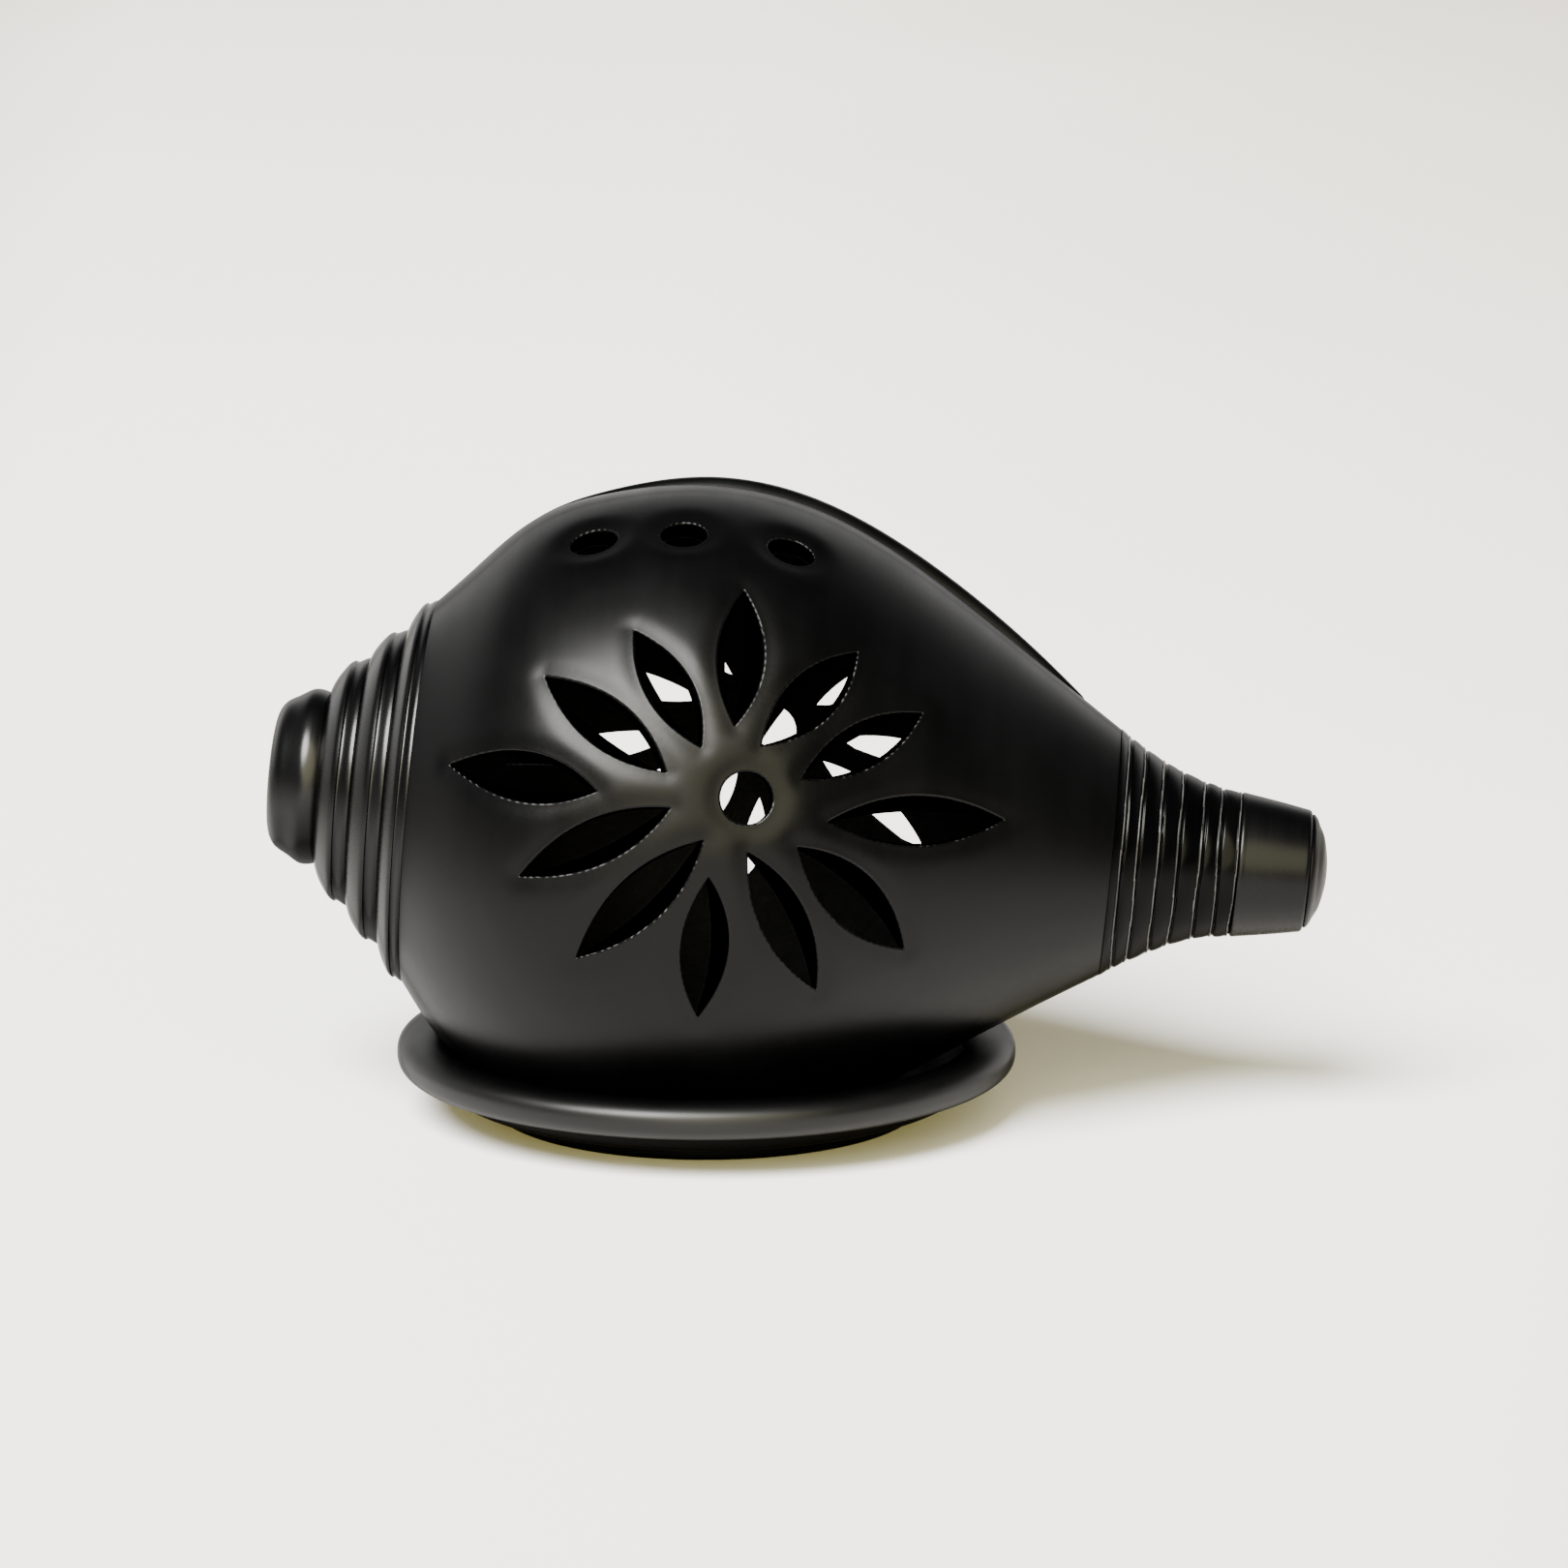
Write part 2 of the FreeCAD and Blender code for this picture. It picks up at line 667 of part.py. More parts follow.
def tealight():
    """A tealight standing on the dish's floor: cup, wax, wick and the tab that holds the wick."""
    floor, r, thin = dim("floor_z"), dim("cup_r"), dim("cup_wall")
    cup_top = floor + dim("cup_height")
    cup_steps = [
        (r, floor),
        (r, cup_top),
        (r - thin, cup_top),
        (r - thin, floor + thin),
        (0, floor + thin),
    ]
    cup = turned("tealight_cup", (0, floor), cup_steps, about="V_Axis")
    tab_foot = floor + thin
    tab_top = tab_foot + dim("tab_thick")
    wick_r = dim("wick_r")
    collar_r = wick_r + 0.5
    tab_steps = [
        (dim("tab_r"), tab_foot),
        (dim("tab_r"), tab_top),
        (collar_r, tab_top),
        (collar_r, tab_top + 2.5),
        (wick_r, tab_top + 2.5),
    ]
    tab = turned("wick_tab", (wick_r, tab_foot), tab_steps, about="V_Axis")
    wax_top = tab_foot + dim("wax_height")
    wick_top = wax_top + dim("wick_proud")
    wick_steps = [(wick_r, tab_foot), (wick_r, wick_top), (0, wick_top)]
    wick = turned("tealight_wick", (0, tab_foot), wick_steps, about="V_Axis")
    wax_r = r - thin
    wax_steps = [
        (wax_r, tab_foot),
        (wax_r, wax_top),
        (wick_r, wax_top),
        (wick_r, tab_top + 2.5),
        (collar_r, tab_top + 2.5),
        (collar_r, tab_top),
        (dim("tab_r"), tab_top),
    ]
    wax = turned("tealight_wax", (dim("tab_r"), tab_foot), wax_steps, about="V_Axis")
    return [cup, tab, wick, wax]


# ---------------------------------------------------------------- the whole


def check(nodes):
    """Stops on any object that failed to recompute, and on any empty or invalid shape."""
    failed = [o.Name for o in doc.Objects if "Invalid" in o.State or "Error" in o.State]
    if failed:
        raise RuntimeError(f"these objects failed: {failed}")
    for node in nodes:
        if node.Shape.isNull() or not node.Shape.isValid() or node.Shape.Volume <= 0:
            raise RuntimeError(f"{node.Label} has no valid shape")


def main():
    fill_sheet()
    outside, inside = belly_outside(), belly_inside()
    nodes = spire() + [neck(), spout(), spout_cap()]
    doc.recompute()
    nodes.append(belly(outside, inside))
    nodes.append(back_lip(outside))
    roll = rim_roll()
    nodes += [roll, dish_bowl(roll), foot_ring()]
    nodes += tealight()
    doc.recompute()
    check(nodes)
    os.makedirs("parts", exist_ok=True)
    for node in nodes:
        node.Shape.exportStep(os.path.join("parts", f"{node.Label}.step"))
        box = node.Shape.BoundBox
        print(f"{node.Label}: {node.Shape.Volume:.0f} mm3, {len(node.Shape.Solids)} solid, "
              f"x {box.XMin:.1f} to {box.XMax:.1f}, z {box.ZMin:.1f} to {box.ZMax:.1f}")


main()
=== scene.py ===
from math import cos, pi, radians, sin, sqrt

import bpy
import numpy as np
from mathutils import Euler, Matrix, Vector
from mathutils.geometry import delaunay_2d_cdt
from mathutils.kdtree import KDTree


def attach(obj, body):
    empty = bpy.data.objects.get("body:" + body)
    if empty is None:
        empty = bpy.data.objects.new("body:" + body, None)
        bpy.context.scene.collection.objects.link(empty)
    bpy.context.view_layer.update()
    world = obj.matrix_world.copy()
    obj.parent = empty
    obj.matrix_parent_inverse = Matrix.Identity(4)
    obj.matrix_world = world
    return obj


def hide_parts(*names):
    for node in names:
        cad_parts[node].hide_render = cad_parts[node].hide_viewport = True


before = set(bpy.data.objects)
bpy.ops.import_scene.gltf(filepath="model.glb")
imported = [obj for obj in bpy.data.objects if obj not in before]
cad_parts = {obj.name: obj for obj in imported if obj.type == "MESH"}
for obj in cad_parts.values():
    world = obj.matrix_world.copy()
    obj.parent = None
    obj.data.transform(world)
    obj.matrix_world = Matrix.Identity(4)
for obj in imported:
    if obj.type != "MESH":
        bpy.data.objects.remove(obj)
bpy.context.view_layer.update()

# A burnished black clay candle cover in the form of a conch, lying on a dish over a tealight.
# Sizes below are millimetres in the row frame; MM turns them into Blender's metres. The shell's
# own frame has its first axis along the shell, from the knob's face towards the spout, and a
# "station" is a distance along it. Angles round the shell start at the flower side (-Y) and go
# up over the top.
MM = 0.001
# Edges that bend more than this show sharp, points this share of a millimetre apart are joined,
# and a search for a surface halves its reach this often.
SHARP_BEND = radians(38)
JOIN_GAP = 1 / 2000
HALVINGS = 44

SHELL_START = np.array((-125.3, 0.0, 97.2))
SHELL_DIP = radians(5.0)
WALL = 6.5
FLOOR_Z = 8.0

KNOB, SMALL, MIDDLE, LARGE, BELLY = 0.0, 15.4, 25.9, 36.0, 43.7
NECK, SPOUT, CAP, TIP = 242.2, 278.0, 298.8, 304.4
KNOB_R, SMALL_R, MIDDLE_R, LARGE_R, BELLY_R = 25.4, 25.2, 35.9, 45.3, 55.0
NECK_R, SPOUT_R, SPOUT_END_R, CAP_R = 35.3, 20.7, 17.5, 16.6
SMALL_DROP, MIDDLE_DROP, LARGE_DROP = 0.3, 0.8, 1.2

# The belly's rings: station, radius, and how far the soft clay sagged below the axis.
BELLY_RINGS = (
    (BELLY, BELLY_R, 1.2),
    (51.4, 64.1, 2.2),
    (65.4, 78.2, 1.7),
    (88.4, 90.4, 1.9),
    (118.4, 94.4, 0.5),
    (153.4, 88.6, 0.0),
    (188.4, 70.3, -0.7),
    (219.4, 49.9, -0.6),
    (NECK, NECK_R, 0.0),
)

# Petals are drawn on a plane that touches the shell at the flower's centre, u towards the spout
# and v up: tip, inner end, width, and how much of the outer bulge the two sides keep inside.
LEANING = (0.86, 0.40)
FRONT_PETALS = (
    ((-3, 59), (-5, 20), 13.0, (0.3, 0.5)),
    ((30, 45), (3, 15), 14.0, LEANING),
    ((50, 30), (15, 7), 12.6, LEANING),
    ((77, 3), (24, -4), 14.0, LEANING),
    ((52, -36), (16, -12), 15.4, LEANING),
    ((28, -50), (2, -15), 13.2, LEANING),
    ((-4, -61), (-8, -23), 13.4, LEANING),
    ((-40, -48), (-11, -13), 14.0, LEANING),
    ((-58, -27), (-21, -5), 12.6, LEANING),
    ((-78, 3), (-41, -2), 14.0, LEANING),
    ((-56, 29), (-23, 5), 13.4, LEANING),
    ((-33, 44), (-14, 13), 12.6, LEANING),
)
# The back flower: direction in degrees, distance to the inner end and to the tip, width.
BACK_PETALS = (
    (1, 19, 72, 12.6),
    (35, 15, 58, 11.0),
    (62, 18, 52, 11.0),
    (86, 19, 52, 11.0),
    (132, 18, 57, 13.4),
    (164, 21, 62, 14.0),
    (190, 28, 72, 13.4),
    (210, 18, 48, 11.0),
    (238, 17, 42, 9.0),
    (266, 21, 46, 10.0),
    (292, 18, 36, 9.0),
    (335, 16, 60, 11.4),
)
FRONT_FLOWER = (139.8, radians(16.3), radians(11.4), -1)
BACK_FLOWER = (141.4, radians(5.5), radians(11.4), 1)
EYE_R = 7.4
VENT_R = 6.6
VENTS = (88.5, 113.8, 144.5)
VENT_UP = radians(69.9)

RIM_R, RIM_Z, RIM_WIDE, RIM_HIGH, RIM_FILL = 81.8, 17.2, 7.7, 5.5, 0.99
FOOT_R, FOOT_BORE, FOOT_TOP, DISH_FLOOR_R = 61.8, 50.0, 3.5, 65.5


# ---- curves and frames


def spline(knots, values):
    """A natural cubic through the knots, as a function that returns value and slope."""
    x, y = np.array(knots, float), np.array(values, float)
    n, step = len(x), np.diff(x)
    system, right = np.eye(n), np.zeros(n)
    for i in range(1, n - 1):
        system[i, i - 1 : i + 2] = step[i - 1], 2 * (step[i - 1] + step[i]), step[i]
        right[i] = 6 * ((y[i + 1] - y[i]) / step[i] - (y[i] - y[i - 1]) / step[i - 1])
    bend = np.linalg.solve(system, right)

    def at(t):
        t = np.asarray(t, float)
        i = np.clip(np.searchsorted(x, t) - 1, 0, n - 2)
        h, a, b = step[i], (x[i + 1] - t), (t - x[i])
        value = (bend[i] * a**3 + bend[i + 1] * b**3) / (6 * h)
        value += (y[i] / h - bend[i] * h / 6) * a + (y[i + 1] / h - bend[i + 1] * h / 6) * b
        slope = (bend[i + 1] * b**2 - bend[i] * a**2) / (2 * h)
        slope += (y[i + 1] - y[i]) / h - (bend[i + 1] - bend[i]) * h / 6
        return value, slope

    return at


def unit(vectors):
    return vectors / np.maximum(np.linalg.norm(vectors, axis=-1, keepdims=True), 1e-9)


def from_shell(points, drop=0.0):
    """Points of the shell's frame (station, across, up) in the row frame."""
    along, across, up = np.moveaxis(np.asarray(points, float), -1, 0)
    up = up - drop
    x = SHELL_START[0] + along * cos(SHELL_DIP) + up * sin(SHELL_DIP)
    z = SHELL_START[2] - along * sin(SHELL_DIP) + up * cos(SHELL_DIP)
    return np.stack((x, across, z), -1)


def turn_to_row(vectors):
    return from_shell(vectors) - SHELL_START


def to_shell(points):
    x, across, z = np.moveaxis(np.asarray(points, float) - SHELL_START, -1, 0)
    along = x * cos(SHELL_DIP) - z * sin(SHELL_DIP)
    up = x * sin(SHELL_DIP) + z * cos(SHELL_DIP)
    return np.stack((along, across, up), -1)


# ---- building meshes


def make_piece(name, verts, faces, body, nodes, materials, face_material=None, normals=None):
    """A mesh object from millimetre points, with its body, the CAD nodes it stands for and slot."""
    mesh = bpy.data.meshes.new(name)
    flat = [list(map(int, f)) for f in faces]
    mesh.from_pydata((np.asarray(verts) * MM).tolist(), [], flat)
    for material in materials:
        mesh.materials.append(material)
    if face_material is not None:
        mesh.polygons.foreach_set("material_index", np.asarray(face_material, np.int32))
    mesh.polygons.foreach_set("use_smooth", np.ones(len(flat), bool))
    mesh.update()
    if normals is None:
        mesh.set_sharp_from_angle(angle=SHARP_BEND)
    else:
        mesh.normals_split_custom_set(np.asarray(normals).tolist())
    piece = bpy.data.objects.new(name, mesh)
    bpy.context.scene.collection.objects.link(piece)
    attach(piece, body)
    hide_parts(*nodes)


def lattice_faces(rows, columns, wrap_rows=False, wrap_columns=True):
    """Quads between neighbouring rows and columns of a lattice of points."""
    r = np.arange(rows if wrap_rows else rows - 1)
    c = np.arange(columns if wrap_columns else columns - 1)
    r, c = (g.ravel() for g in np.meshgrid(r, c, indexing="ij"))
    r2, c2 = (r + 1) % rows, (c + 1) % columns
    return np.stack((r * columns + c, r * columns + c2, r2 * columns + c2, r2 * columns + c), -1)


def lathe(profile, segments, wobble=None, about_z=False, drop=0.0):
    """A closed profile of (station or height, radius) turned right round, as points and faces.
    Profile points on the axis become one point each. wobble moves them by station and angle."""
    profile = np.asarray(profile, float)
    angle = np.linspace(0, 2 * pi, segments, endpoint=False)
    along, angles = np.meshgrid(profile[:, 0], angle, indexing="ij")
    radius = np.repeat(profile[:, 1:], segments, 1)
    if wobble:
        shift, swell = wobble(along, angles, radius)
        along, radius = along + shift, np.where(radius > 1e-6, radius + swell, 0)
    if about_z:
        points = np.stack((radius * np.cos(angles), radius * np.sin(angles), along), -1)
    else:
        local = np.stack((along, -radius * np.cos(angles), radius * np.sin(angles)), -1)
        points = from_shell(local, drop)
    faces = lattice_faces(len(profile), segments, wrap_rows=True)
    if not about_z:
        faces = faces[:, ::-1]
    return weld(points.reshape(-1, 3), faces)


def weld(points, faces, normals=None):
    """Joins points that coincide and drops faces or corners that this empties."""
    keys = np.round(points * (1 / JOIN_GAP)).astype(np.int64)
    _, first, where = np.unique(keys, axis=0, return_index=True, return_inverse=True)
    where = where.ravel()
    kept, corner_normals = [], []
    for face in faces:
        ring, corners = [], []
        for v in face:
            w = int(where[v])
            if w not in ring:
                ring.append(w)
                corners.append(v)
        if len(ring) > 2:
            kept.append(ring)
            corner_normals.extend(corners)
    if normals is None:
        return points[first], kept
    return points[first], kept, normals[corner_normals]


def curve_through(points, count):
    """A smooth line through a few (along, radius) points, evenly stepped."""
    p = np.asarray(points, float)
    chord = np.concatenate(([0], np.cumsum(np.hypot(*np.diff(p, axis=0).T))))
    share = np.linspace(0, chord[-1], count)
    return np.stack([spline(chord, p[:, k])(share)[0] for k in (0, 1)], -1)


def joined(*runs):
    """Profile runs end to end, with no point twice."""
    line = np.concatenate([runs[0]] + [run[1:] for run in runs[1:]])
    return line[:-1] if np.allclose(line[0], line[-1]) else line


def turned(
    node, material, profile, segments, wobble=None, drop=0.0, kind="clay", body="cover", slot="shell_clay"
):
    """A piece turned from a profile: on the shell's axis for the cover, upright for the rest."""
    p, f = lathe(profile, segments, wobble, about_z=body != "cover", drop=drop)
    make_piece(f"{node}_{kind}", p, f, body, [node], [material])


# ---- materials


class Nodes:
    """A small helper that adds shader nodes to a material or to the sky."""

    def __init__(self, owner, shader="Principled BSDF", place="Object"):
        owner.use_nodes = True
        self.tree = owner.node_tree
        self.shader = self.tree.nodes[shader]
        self.place = self.add("ShaderNodeTexCoord").outputs[place]

    def add(self, kind, **values):
        node = self.tree.nodes.new(kind)
        for key, value in values.items():
            setattr(node, key, value)
        return node

    def link(self, source, target):
        self.tree.links.new(source, target)

    def stretched(self, scale, turn=(0, 0, 0)):
        """The object's coordinates, turned and then stretched."""
        node = self.add("ShaderNodeMapping")
        node.inputs["Rotation"].default_value = turn
        node.inputs["Scale"].default_value = scale
        self.link(self.place, node.inputs["Vector"])
        return node.outputs["Vector"]

    def noise(self, scale, detail=3.0, vector=None, rough=0.5):
        node = self.add("ShaderNodeTexNoise")
        node.inputs["Scale"].default_value = scale
        node.inputs["Detail"].default_value = detail
        node.inputs["Roughness"].default_value = rough
        self.link(vector or self.place, node.inputs["Vector"])
        return node.outputs["Fac"]

    def axes(self, vector):
        node = self.add("ShaderNodeSeparateXYZ")
        self.link(vector, node.inputs[0])
        return node.outputs

    def spread(self, source, low, high, start=0.3, end=0.7, kind="LINEAR"):
        """Maps the range from start to end onto low to high."""
        node = self.add("ShaderNodeMapRange", interpolation_type=kind)
        for key, value in zip(("From Min", "From Max", "To Min", "To Max"), (start, end, low, high)):
            node.inputs[key].default_value = value
        self.link(source, node.inputs["Value"])
        return node.outputs["Result"]

    def combine(self, first, second, operation="ADD"):
        node = self.add("ShaderNodeMath", operation=operation)
        for socket, value in zip(node.inputs, (first, second)):
            if isinstance(value, (int, float)):
                socket.default_value = value
            else:
                self.link(value, socket)
        return node.outputs["Value"]

    def colours(self, source, *stops):
        """A colour ramp of (place, rgb) stops."""
        node = self.add("ShaderNodeValToRGB")
        ramp = node.color_ramp
        while len(ramp.elements) < len(stops):
            ramp.elements.new(0.5)
        for element, (place, rgb) in zip(ramp.elements, stops):
            element.position = place
            element.color = (*rgb, 1)
        self.link(source, node.inputs["Fac"])
        return node.outputs["Color"]

    def shaded(self, colour, amount):
        """A colour darkened by an amount from 0 to 1."""
        node = self.add("ShaderNodeMix", data_type="RGBA", blend_type="MULTIPLY")
        node.inputs["Factor"].default_value = 1.0
        self.link(colour, node.inputs["A"])
        self.link(amount, node.inputs["B"])
        return node.outputs["Result"]

    def sheen_by_angle(self, facing, grazing, under=1.0):
        """Soot-black clay loses its sheen where it is seen edge on, and was rubbed less below."""
        weight = self.add("ShaderNodeLayerWeight")
        self.shader.inputs["Specular IOR Level"].default_value = facing
        level = self.spread(weight.outputs["Facing"], facing, grazing, 0.30, 0.80)
        if under < 1:
            facing_up = self.axes(self.add("ShaderNodeTexCoord").outputs["Normal"])["Z"]
            rubbed = self.spread(facing_up, under, 1.0, -0.60, 0.05)
            level = self.combine(level, rubbed, "MULTIPLY")
        self.link(level, self.shader.inputs["Specular IOR Level"])

    def bump(self, height, distance, under=None):
        node = self.add("ShaderNodeBump")
        node.inputs["Distance"].default_value = distance
        node.inputs["Strength"].default_value = 1.0
        self.link(height, node.inputs["Height"])
        if under:
            self.link(under, node.inputs["Normal"])
        return node.outputs["Normal"]

    def surface(self, colour, roughness, normal):
        for socket, source in (("Base Color", colour), ("Roughness", roughness), ("Normal", normal)):
            self.link(source, self.shader.inputs[socket])


ALONG_SHELL, UPRIGHT = (0, SHELL_DIP, 0), (0, 0, 0)


def burnished_clay(material, streaks, roughness, waves, sheen, turn=ALONG_SHELL, under=1.0):
    """Black clay rubbed to a satin graphite sheen, with burnishing streaks round the piece."""
    n = Nodes(material)
    rubbed = n.noise(1.0, 4.0, n.stretched(streaks, turn), 0.55)
    cloud = n.noise(38.0, 4.0)
    grain = n.noise(1900.0, 2.0)
    tone = n.combine(n.combine(rubbed, 0.4, "MULTIPLY"), n.combine(cloud, 0.6, "MULTIPLY"))
    colour = n.colours(tone, (0.35, (0.0001, 0.0001, 0.00012)), (0.65, (0.0004, 0.0004, 0.0005)))
    clouded = n.spread(cloud, roughness - 0.03, roughness + 0.03)
    gloss = n.combine(n.spread(rubbed, -0.012, 0.012), clouded)
    gloss = n.combine(gloss, n.spread(grain, -0.012, 0.02))
    soft = n.bump(n.noise(11.0, 2.0), waves)
    rubs = n.bump(rubbed, 0.00001, under=soft)
    n.surface(colour, gloss, n.bump(grain, 0.00001, under=rubs))
    n.sheen_by_angle(sheen, sheen * 0.06, under)


def cut_clay(material):
    """The clay's bare, matt face where a knife went through or the inside was never rubbed."""
    n = Nodes(material)
    drag = n.noise(1.0, 4.0, n.stretched((260, 900, 260)), 0.6)
    pits = n.noise(1500.0, 5.0, rough=0.7)
    tone = n.combine(n.combine(drag, 0.5, "MULTIPLY"), n.combine(pits, 0.5, "MULTIPLY"))
    colour = n.colours(
        tone,
        (0.40, (0.0005, 0.0005, 0.0005)),
        (0.58, (0.0030, 0.0030, 0.0031)),
        (0.70, (0.010, 0.010, 0.009)),
    )
    normal = n.bump(pits, 0.00012, under=n.bump(drag, 0.0002))
    n.surface(colour, n.spread(pits, 0.42, 0.62), normal)
    n.sheen_by_angle(0.10, 0.004)


def ridge_highlight_paint(material):
    """The crests of the neck's ridges, painted grey as a highlight line along each crest."""
    n = Nodes(material)
    highlight_streaks = n.noise(1.0, 3.0, n.stretched((700, 90, 90), (0, SHELL_DIP, 0)))
    # Painted highlight: a grey far paler than the clay, so each crest reads as a bright line.
    colour = n.colours(highlight_streaks, (0.35, (0.008, 0.008, 0.008)), (0.68, (0.055, 0.055, 0.054)))
    n.surface(colour, n.spread(highlight_streaks, 0.26, 0.40), n.bump(highlight_streaks, 0.00003))
    n.sheen_by_angle(0.20, 0.04)


def foil_metal(material):
    """Thin bright metal with drawn lines round it and soft dents."""
    n = Nodes(material)
    lines = n.noise(1.0, 3.0, n.stretched((60, 60, 2600)))
    dents = n.noise(260.0, 2.0)
    colour = n.colours(lines, (0.3, (0.72, 0.73, 0.75)), (0.7, (0.88, 0.88, 0.89)))
    normal = n.bump(lines, 0.00002, under=n.bump(dents, 0.0002))
    n.surface(colour, n.spread(lines, 0.22, 0.38), normal)
    n.shader.inputs["Metallic"].default_value = 1.0


def candle_wax(material):
    """Milky wax, a little cloudy, that lets some light in."""
    n = Nodes(material)
    cloud, fine = n.noise(140.0, 4.0), n.noise(900.0, 3.0)
    colour = n.colours(cloud, (0.3, (0.80, 0.77, 0.69)), (0.7, (0.90, 0.88, 0.82)))
    normal = n.bump(cloud, 0.0003, under=n.bump(fine, 0.00004))
    n.surface(colour, n.spread(fine, 0.32, 0.5), normal)
    n.shader.inputs["Subsurface Weight"].default_value = 0.35
    n.shader.inputs["Subsurface Scale"].default_value = 0.004


def wick_cotton(material):
    """Pale twisted cotton."""
    n = Nodes(material)
    twist = n.noise(1.0, 3.0, n.stretched((2600, 2600, 700)))
    colour = n.colours(twist, (0.3, (0.58, 0.54, 0.44)), (0.7, (0.86, 0.83, 0.75)))
    n.surface(colour, n.spread(twist, 0.7, 0.95), n.bump(twist, 0.00012))


def floor_paper(material):
    """Pale paper: bright round the piece, with painted shade that makes it duller and a little warmer
    towards the back, the right and both sides, and a faint painted warm glow that keeps the shadow from
    going grey."""
    n = Nodes(material)
    cloud, fibre = n.noise(0.9, 2.0), n.noise(420.0, 3.0)
    where = n.axes(n.place)
    # Painted shade: the paper's colour darkens towards the back and the right, as light falls off; the
    # cloud adds a little random tone.
    back = n.spread(where["Y"], 0.0, 0.66, -0.2, 3.0)
    right = n.spread(where["X"], 0.0, 0.36, -0.1, 0.5)
    painted_light = n.combine(n.combine(back, right), n.spread(cloud, -0.05, 0.05))
    paper = n.colours(
        painted_light,
        (0.02, (0.72, 0.71, 0.745)),
        (0.30, (0.64, 0.625, 0.635)),
        (0.70, (0.46, 0.44, 0.425)),
        (1.00, (0.33, 0.31, 0.29)),
    )
    # Painted shade: the paper darkens towards both sides, starting further out towards the back.
    widening = n.combine(where["Y"], -0.1, "MULTIPLY")
    aside = n.combine(n.combine(where["X"], 0.0, "ABSOLUTE"), widening)
    colour = n.shaded(paper, n.spread(aside, 1.0, 0.30, 0.24, 0.62))
    n.surface(colour, n.spread(fibre, 0.85, 0.95), n.bump(fibre, 0.00004))
    # Painted light: the paper glows faintly warm, which lifts its shadow and tints it yellow.
    n.shader.inputs["Emission Color"].default_value = (0.13, 0.105, 0.0, 1)
    n.shader.inputs["Emission Strength"].default_value = 1.0
    n.shader.inputs["Specular IOR Level"].default_value = 0.1


def named(recipe, name, *values, **more):
    """A new material made by one of the recipes above."""
    material = bpy.data.materials.new(name)
    recipe(material, *values, **more)
    return material


# Burnished clay: how fine the streaks are on each axis, roughness, depth of the slow waves in
# metres, and sheen. The belly and lip, the spout and its lid, the spire, the neck, then the
# dish's rim and its duller bowl and foot. "under" is the share of sheen left on undersides.
AXIAL = (900, 22, 22)
SHELL_CLAY = named(burnished_clay, "shell_clay", (150, 14, 14), 0.35, 0.0008, 0.112)
BAND_CLAY = named(burnished_clay, "band_clay", AXIAL, 0.28, 0.0003, 0.15)
SPIRE_CLAY = named(burnished_clay, "spire_clay", AXIAL, 0.28, 0.0003, 0.24, under=0.08)
NECK_CLAY = named(burnished_clay, "neck_clay", AXIAL, 0.22, 0.00025, 0.07, under=0.5)
# Painted highlight: a grey material for the crests of the neck's ridges.
RIDGE_HIGHLIGHT_CLAY = named(ridge_highlight_paint, "ridge_highlight_paint")
FOOT_CLAY = named(burnished_clay, "foot_clay", (16, 16, 500), 0.46, 0.0006, 0.025, UPRIGHT)
DISH_CLAY = named(burnished_clay, "dish_clay", (16, 16, 700), 0.42, 0.0005, 0.24, UPRIGHT)
CUT_CLAY = named(cut_clay, "cut_clay")
FOIL = named(foil_metal, "cup_foil")
TAB = named(foil_metal, "tab_metal")
WAX = named(candle_wax, "candle_wax")
COTTON = named(wick_cotton, "wick_cotton")


# ---- the belly's two surfaces


class Skin:
    """One side of the belly's wall, as a surface over station and angle."""

    def __init__(self, inside):
        station, radius, sag = (np.array(c, float) for c in zip(*BELLY_RINGS))
        if inside:
            slope = np.gradient(radius, station)
            radius = radius - WALL * np.sqrt(1 + slope**2)
            radius[0], radius[-1] = BELLY_R - WALL, NECK_R - WALL
        self.radius, self.sag = spline(station, radius), spline(station, sag)
        self.facing = -1 if inside else 1
        self.fine = np.linspace(BELLY, NECK, 400)
        hops = np.hypot(np.diff(self.fine), np.diff(self.radius(self.fine)[0]))
        self.length = np.concatenate(([0], np.cumsum(hops)))

    def normal(self, station, angle):
        """Unit normal in the shell's frame, out of the clay."""
        slope, drop = self.radius(station)[1], self.sag(station)[1]
        n = np.stack((-slope + drop * np.sin(angle), -np.cos(angle), np.sin(angle)), -1)
        return self.facing * unit(n)

    def point(self, station, angle):
        r, sag = self.radius(station)[0], self.sag(station)[0]
        return np.stack((station, -r * np.cos(angle), r * np.sin(angle) - sag), -1)

    def outside_by(self, local):
        """How far a point of the shell's frame is outside this surface, square to the axis."""
        station = np.clip(local[..., 0], BELLY, NECK)
        r, sag = self.radius(station)[0], self.sag(station)[0]
        return np.hypot(local[..., 1], local[..., 2] + sag) - r

    def where(self, local):
        """(station, angle) of points on the surface, the angle from -90 to 270 degrees."""
        sag = self.sag(local[..., 0])[0]
        angle = np.arctan2(local[..., 2] + sag, -local[..., 1])
        return local[..., 0], np.where(angle < -pi / 2, angle + 2 * pi, angle)

    def hit(self, start, direction, reach):
        """Where lines from start enter the surface, within reach along direction."""
        near, far = np.zeros(len(start)) - 6, np.full(len(start), float(reach))
        for _ in range(HALVINGS):
            middle = (near + far) / 2
            outside = self.outside_by(start + middle[:, None] * direction) > 0
            near, far = np.where(outside, middle, near), np.where(outside, far, middle)
        return self.where(start + near[:, None] * direction)


OUTER, INNER = Skin(False), Skin(True)
UNROLL_R = 84.0


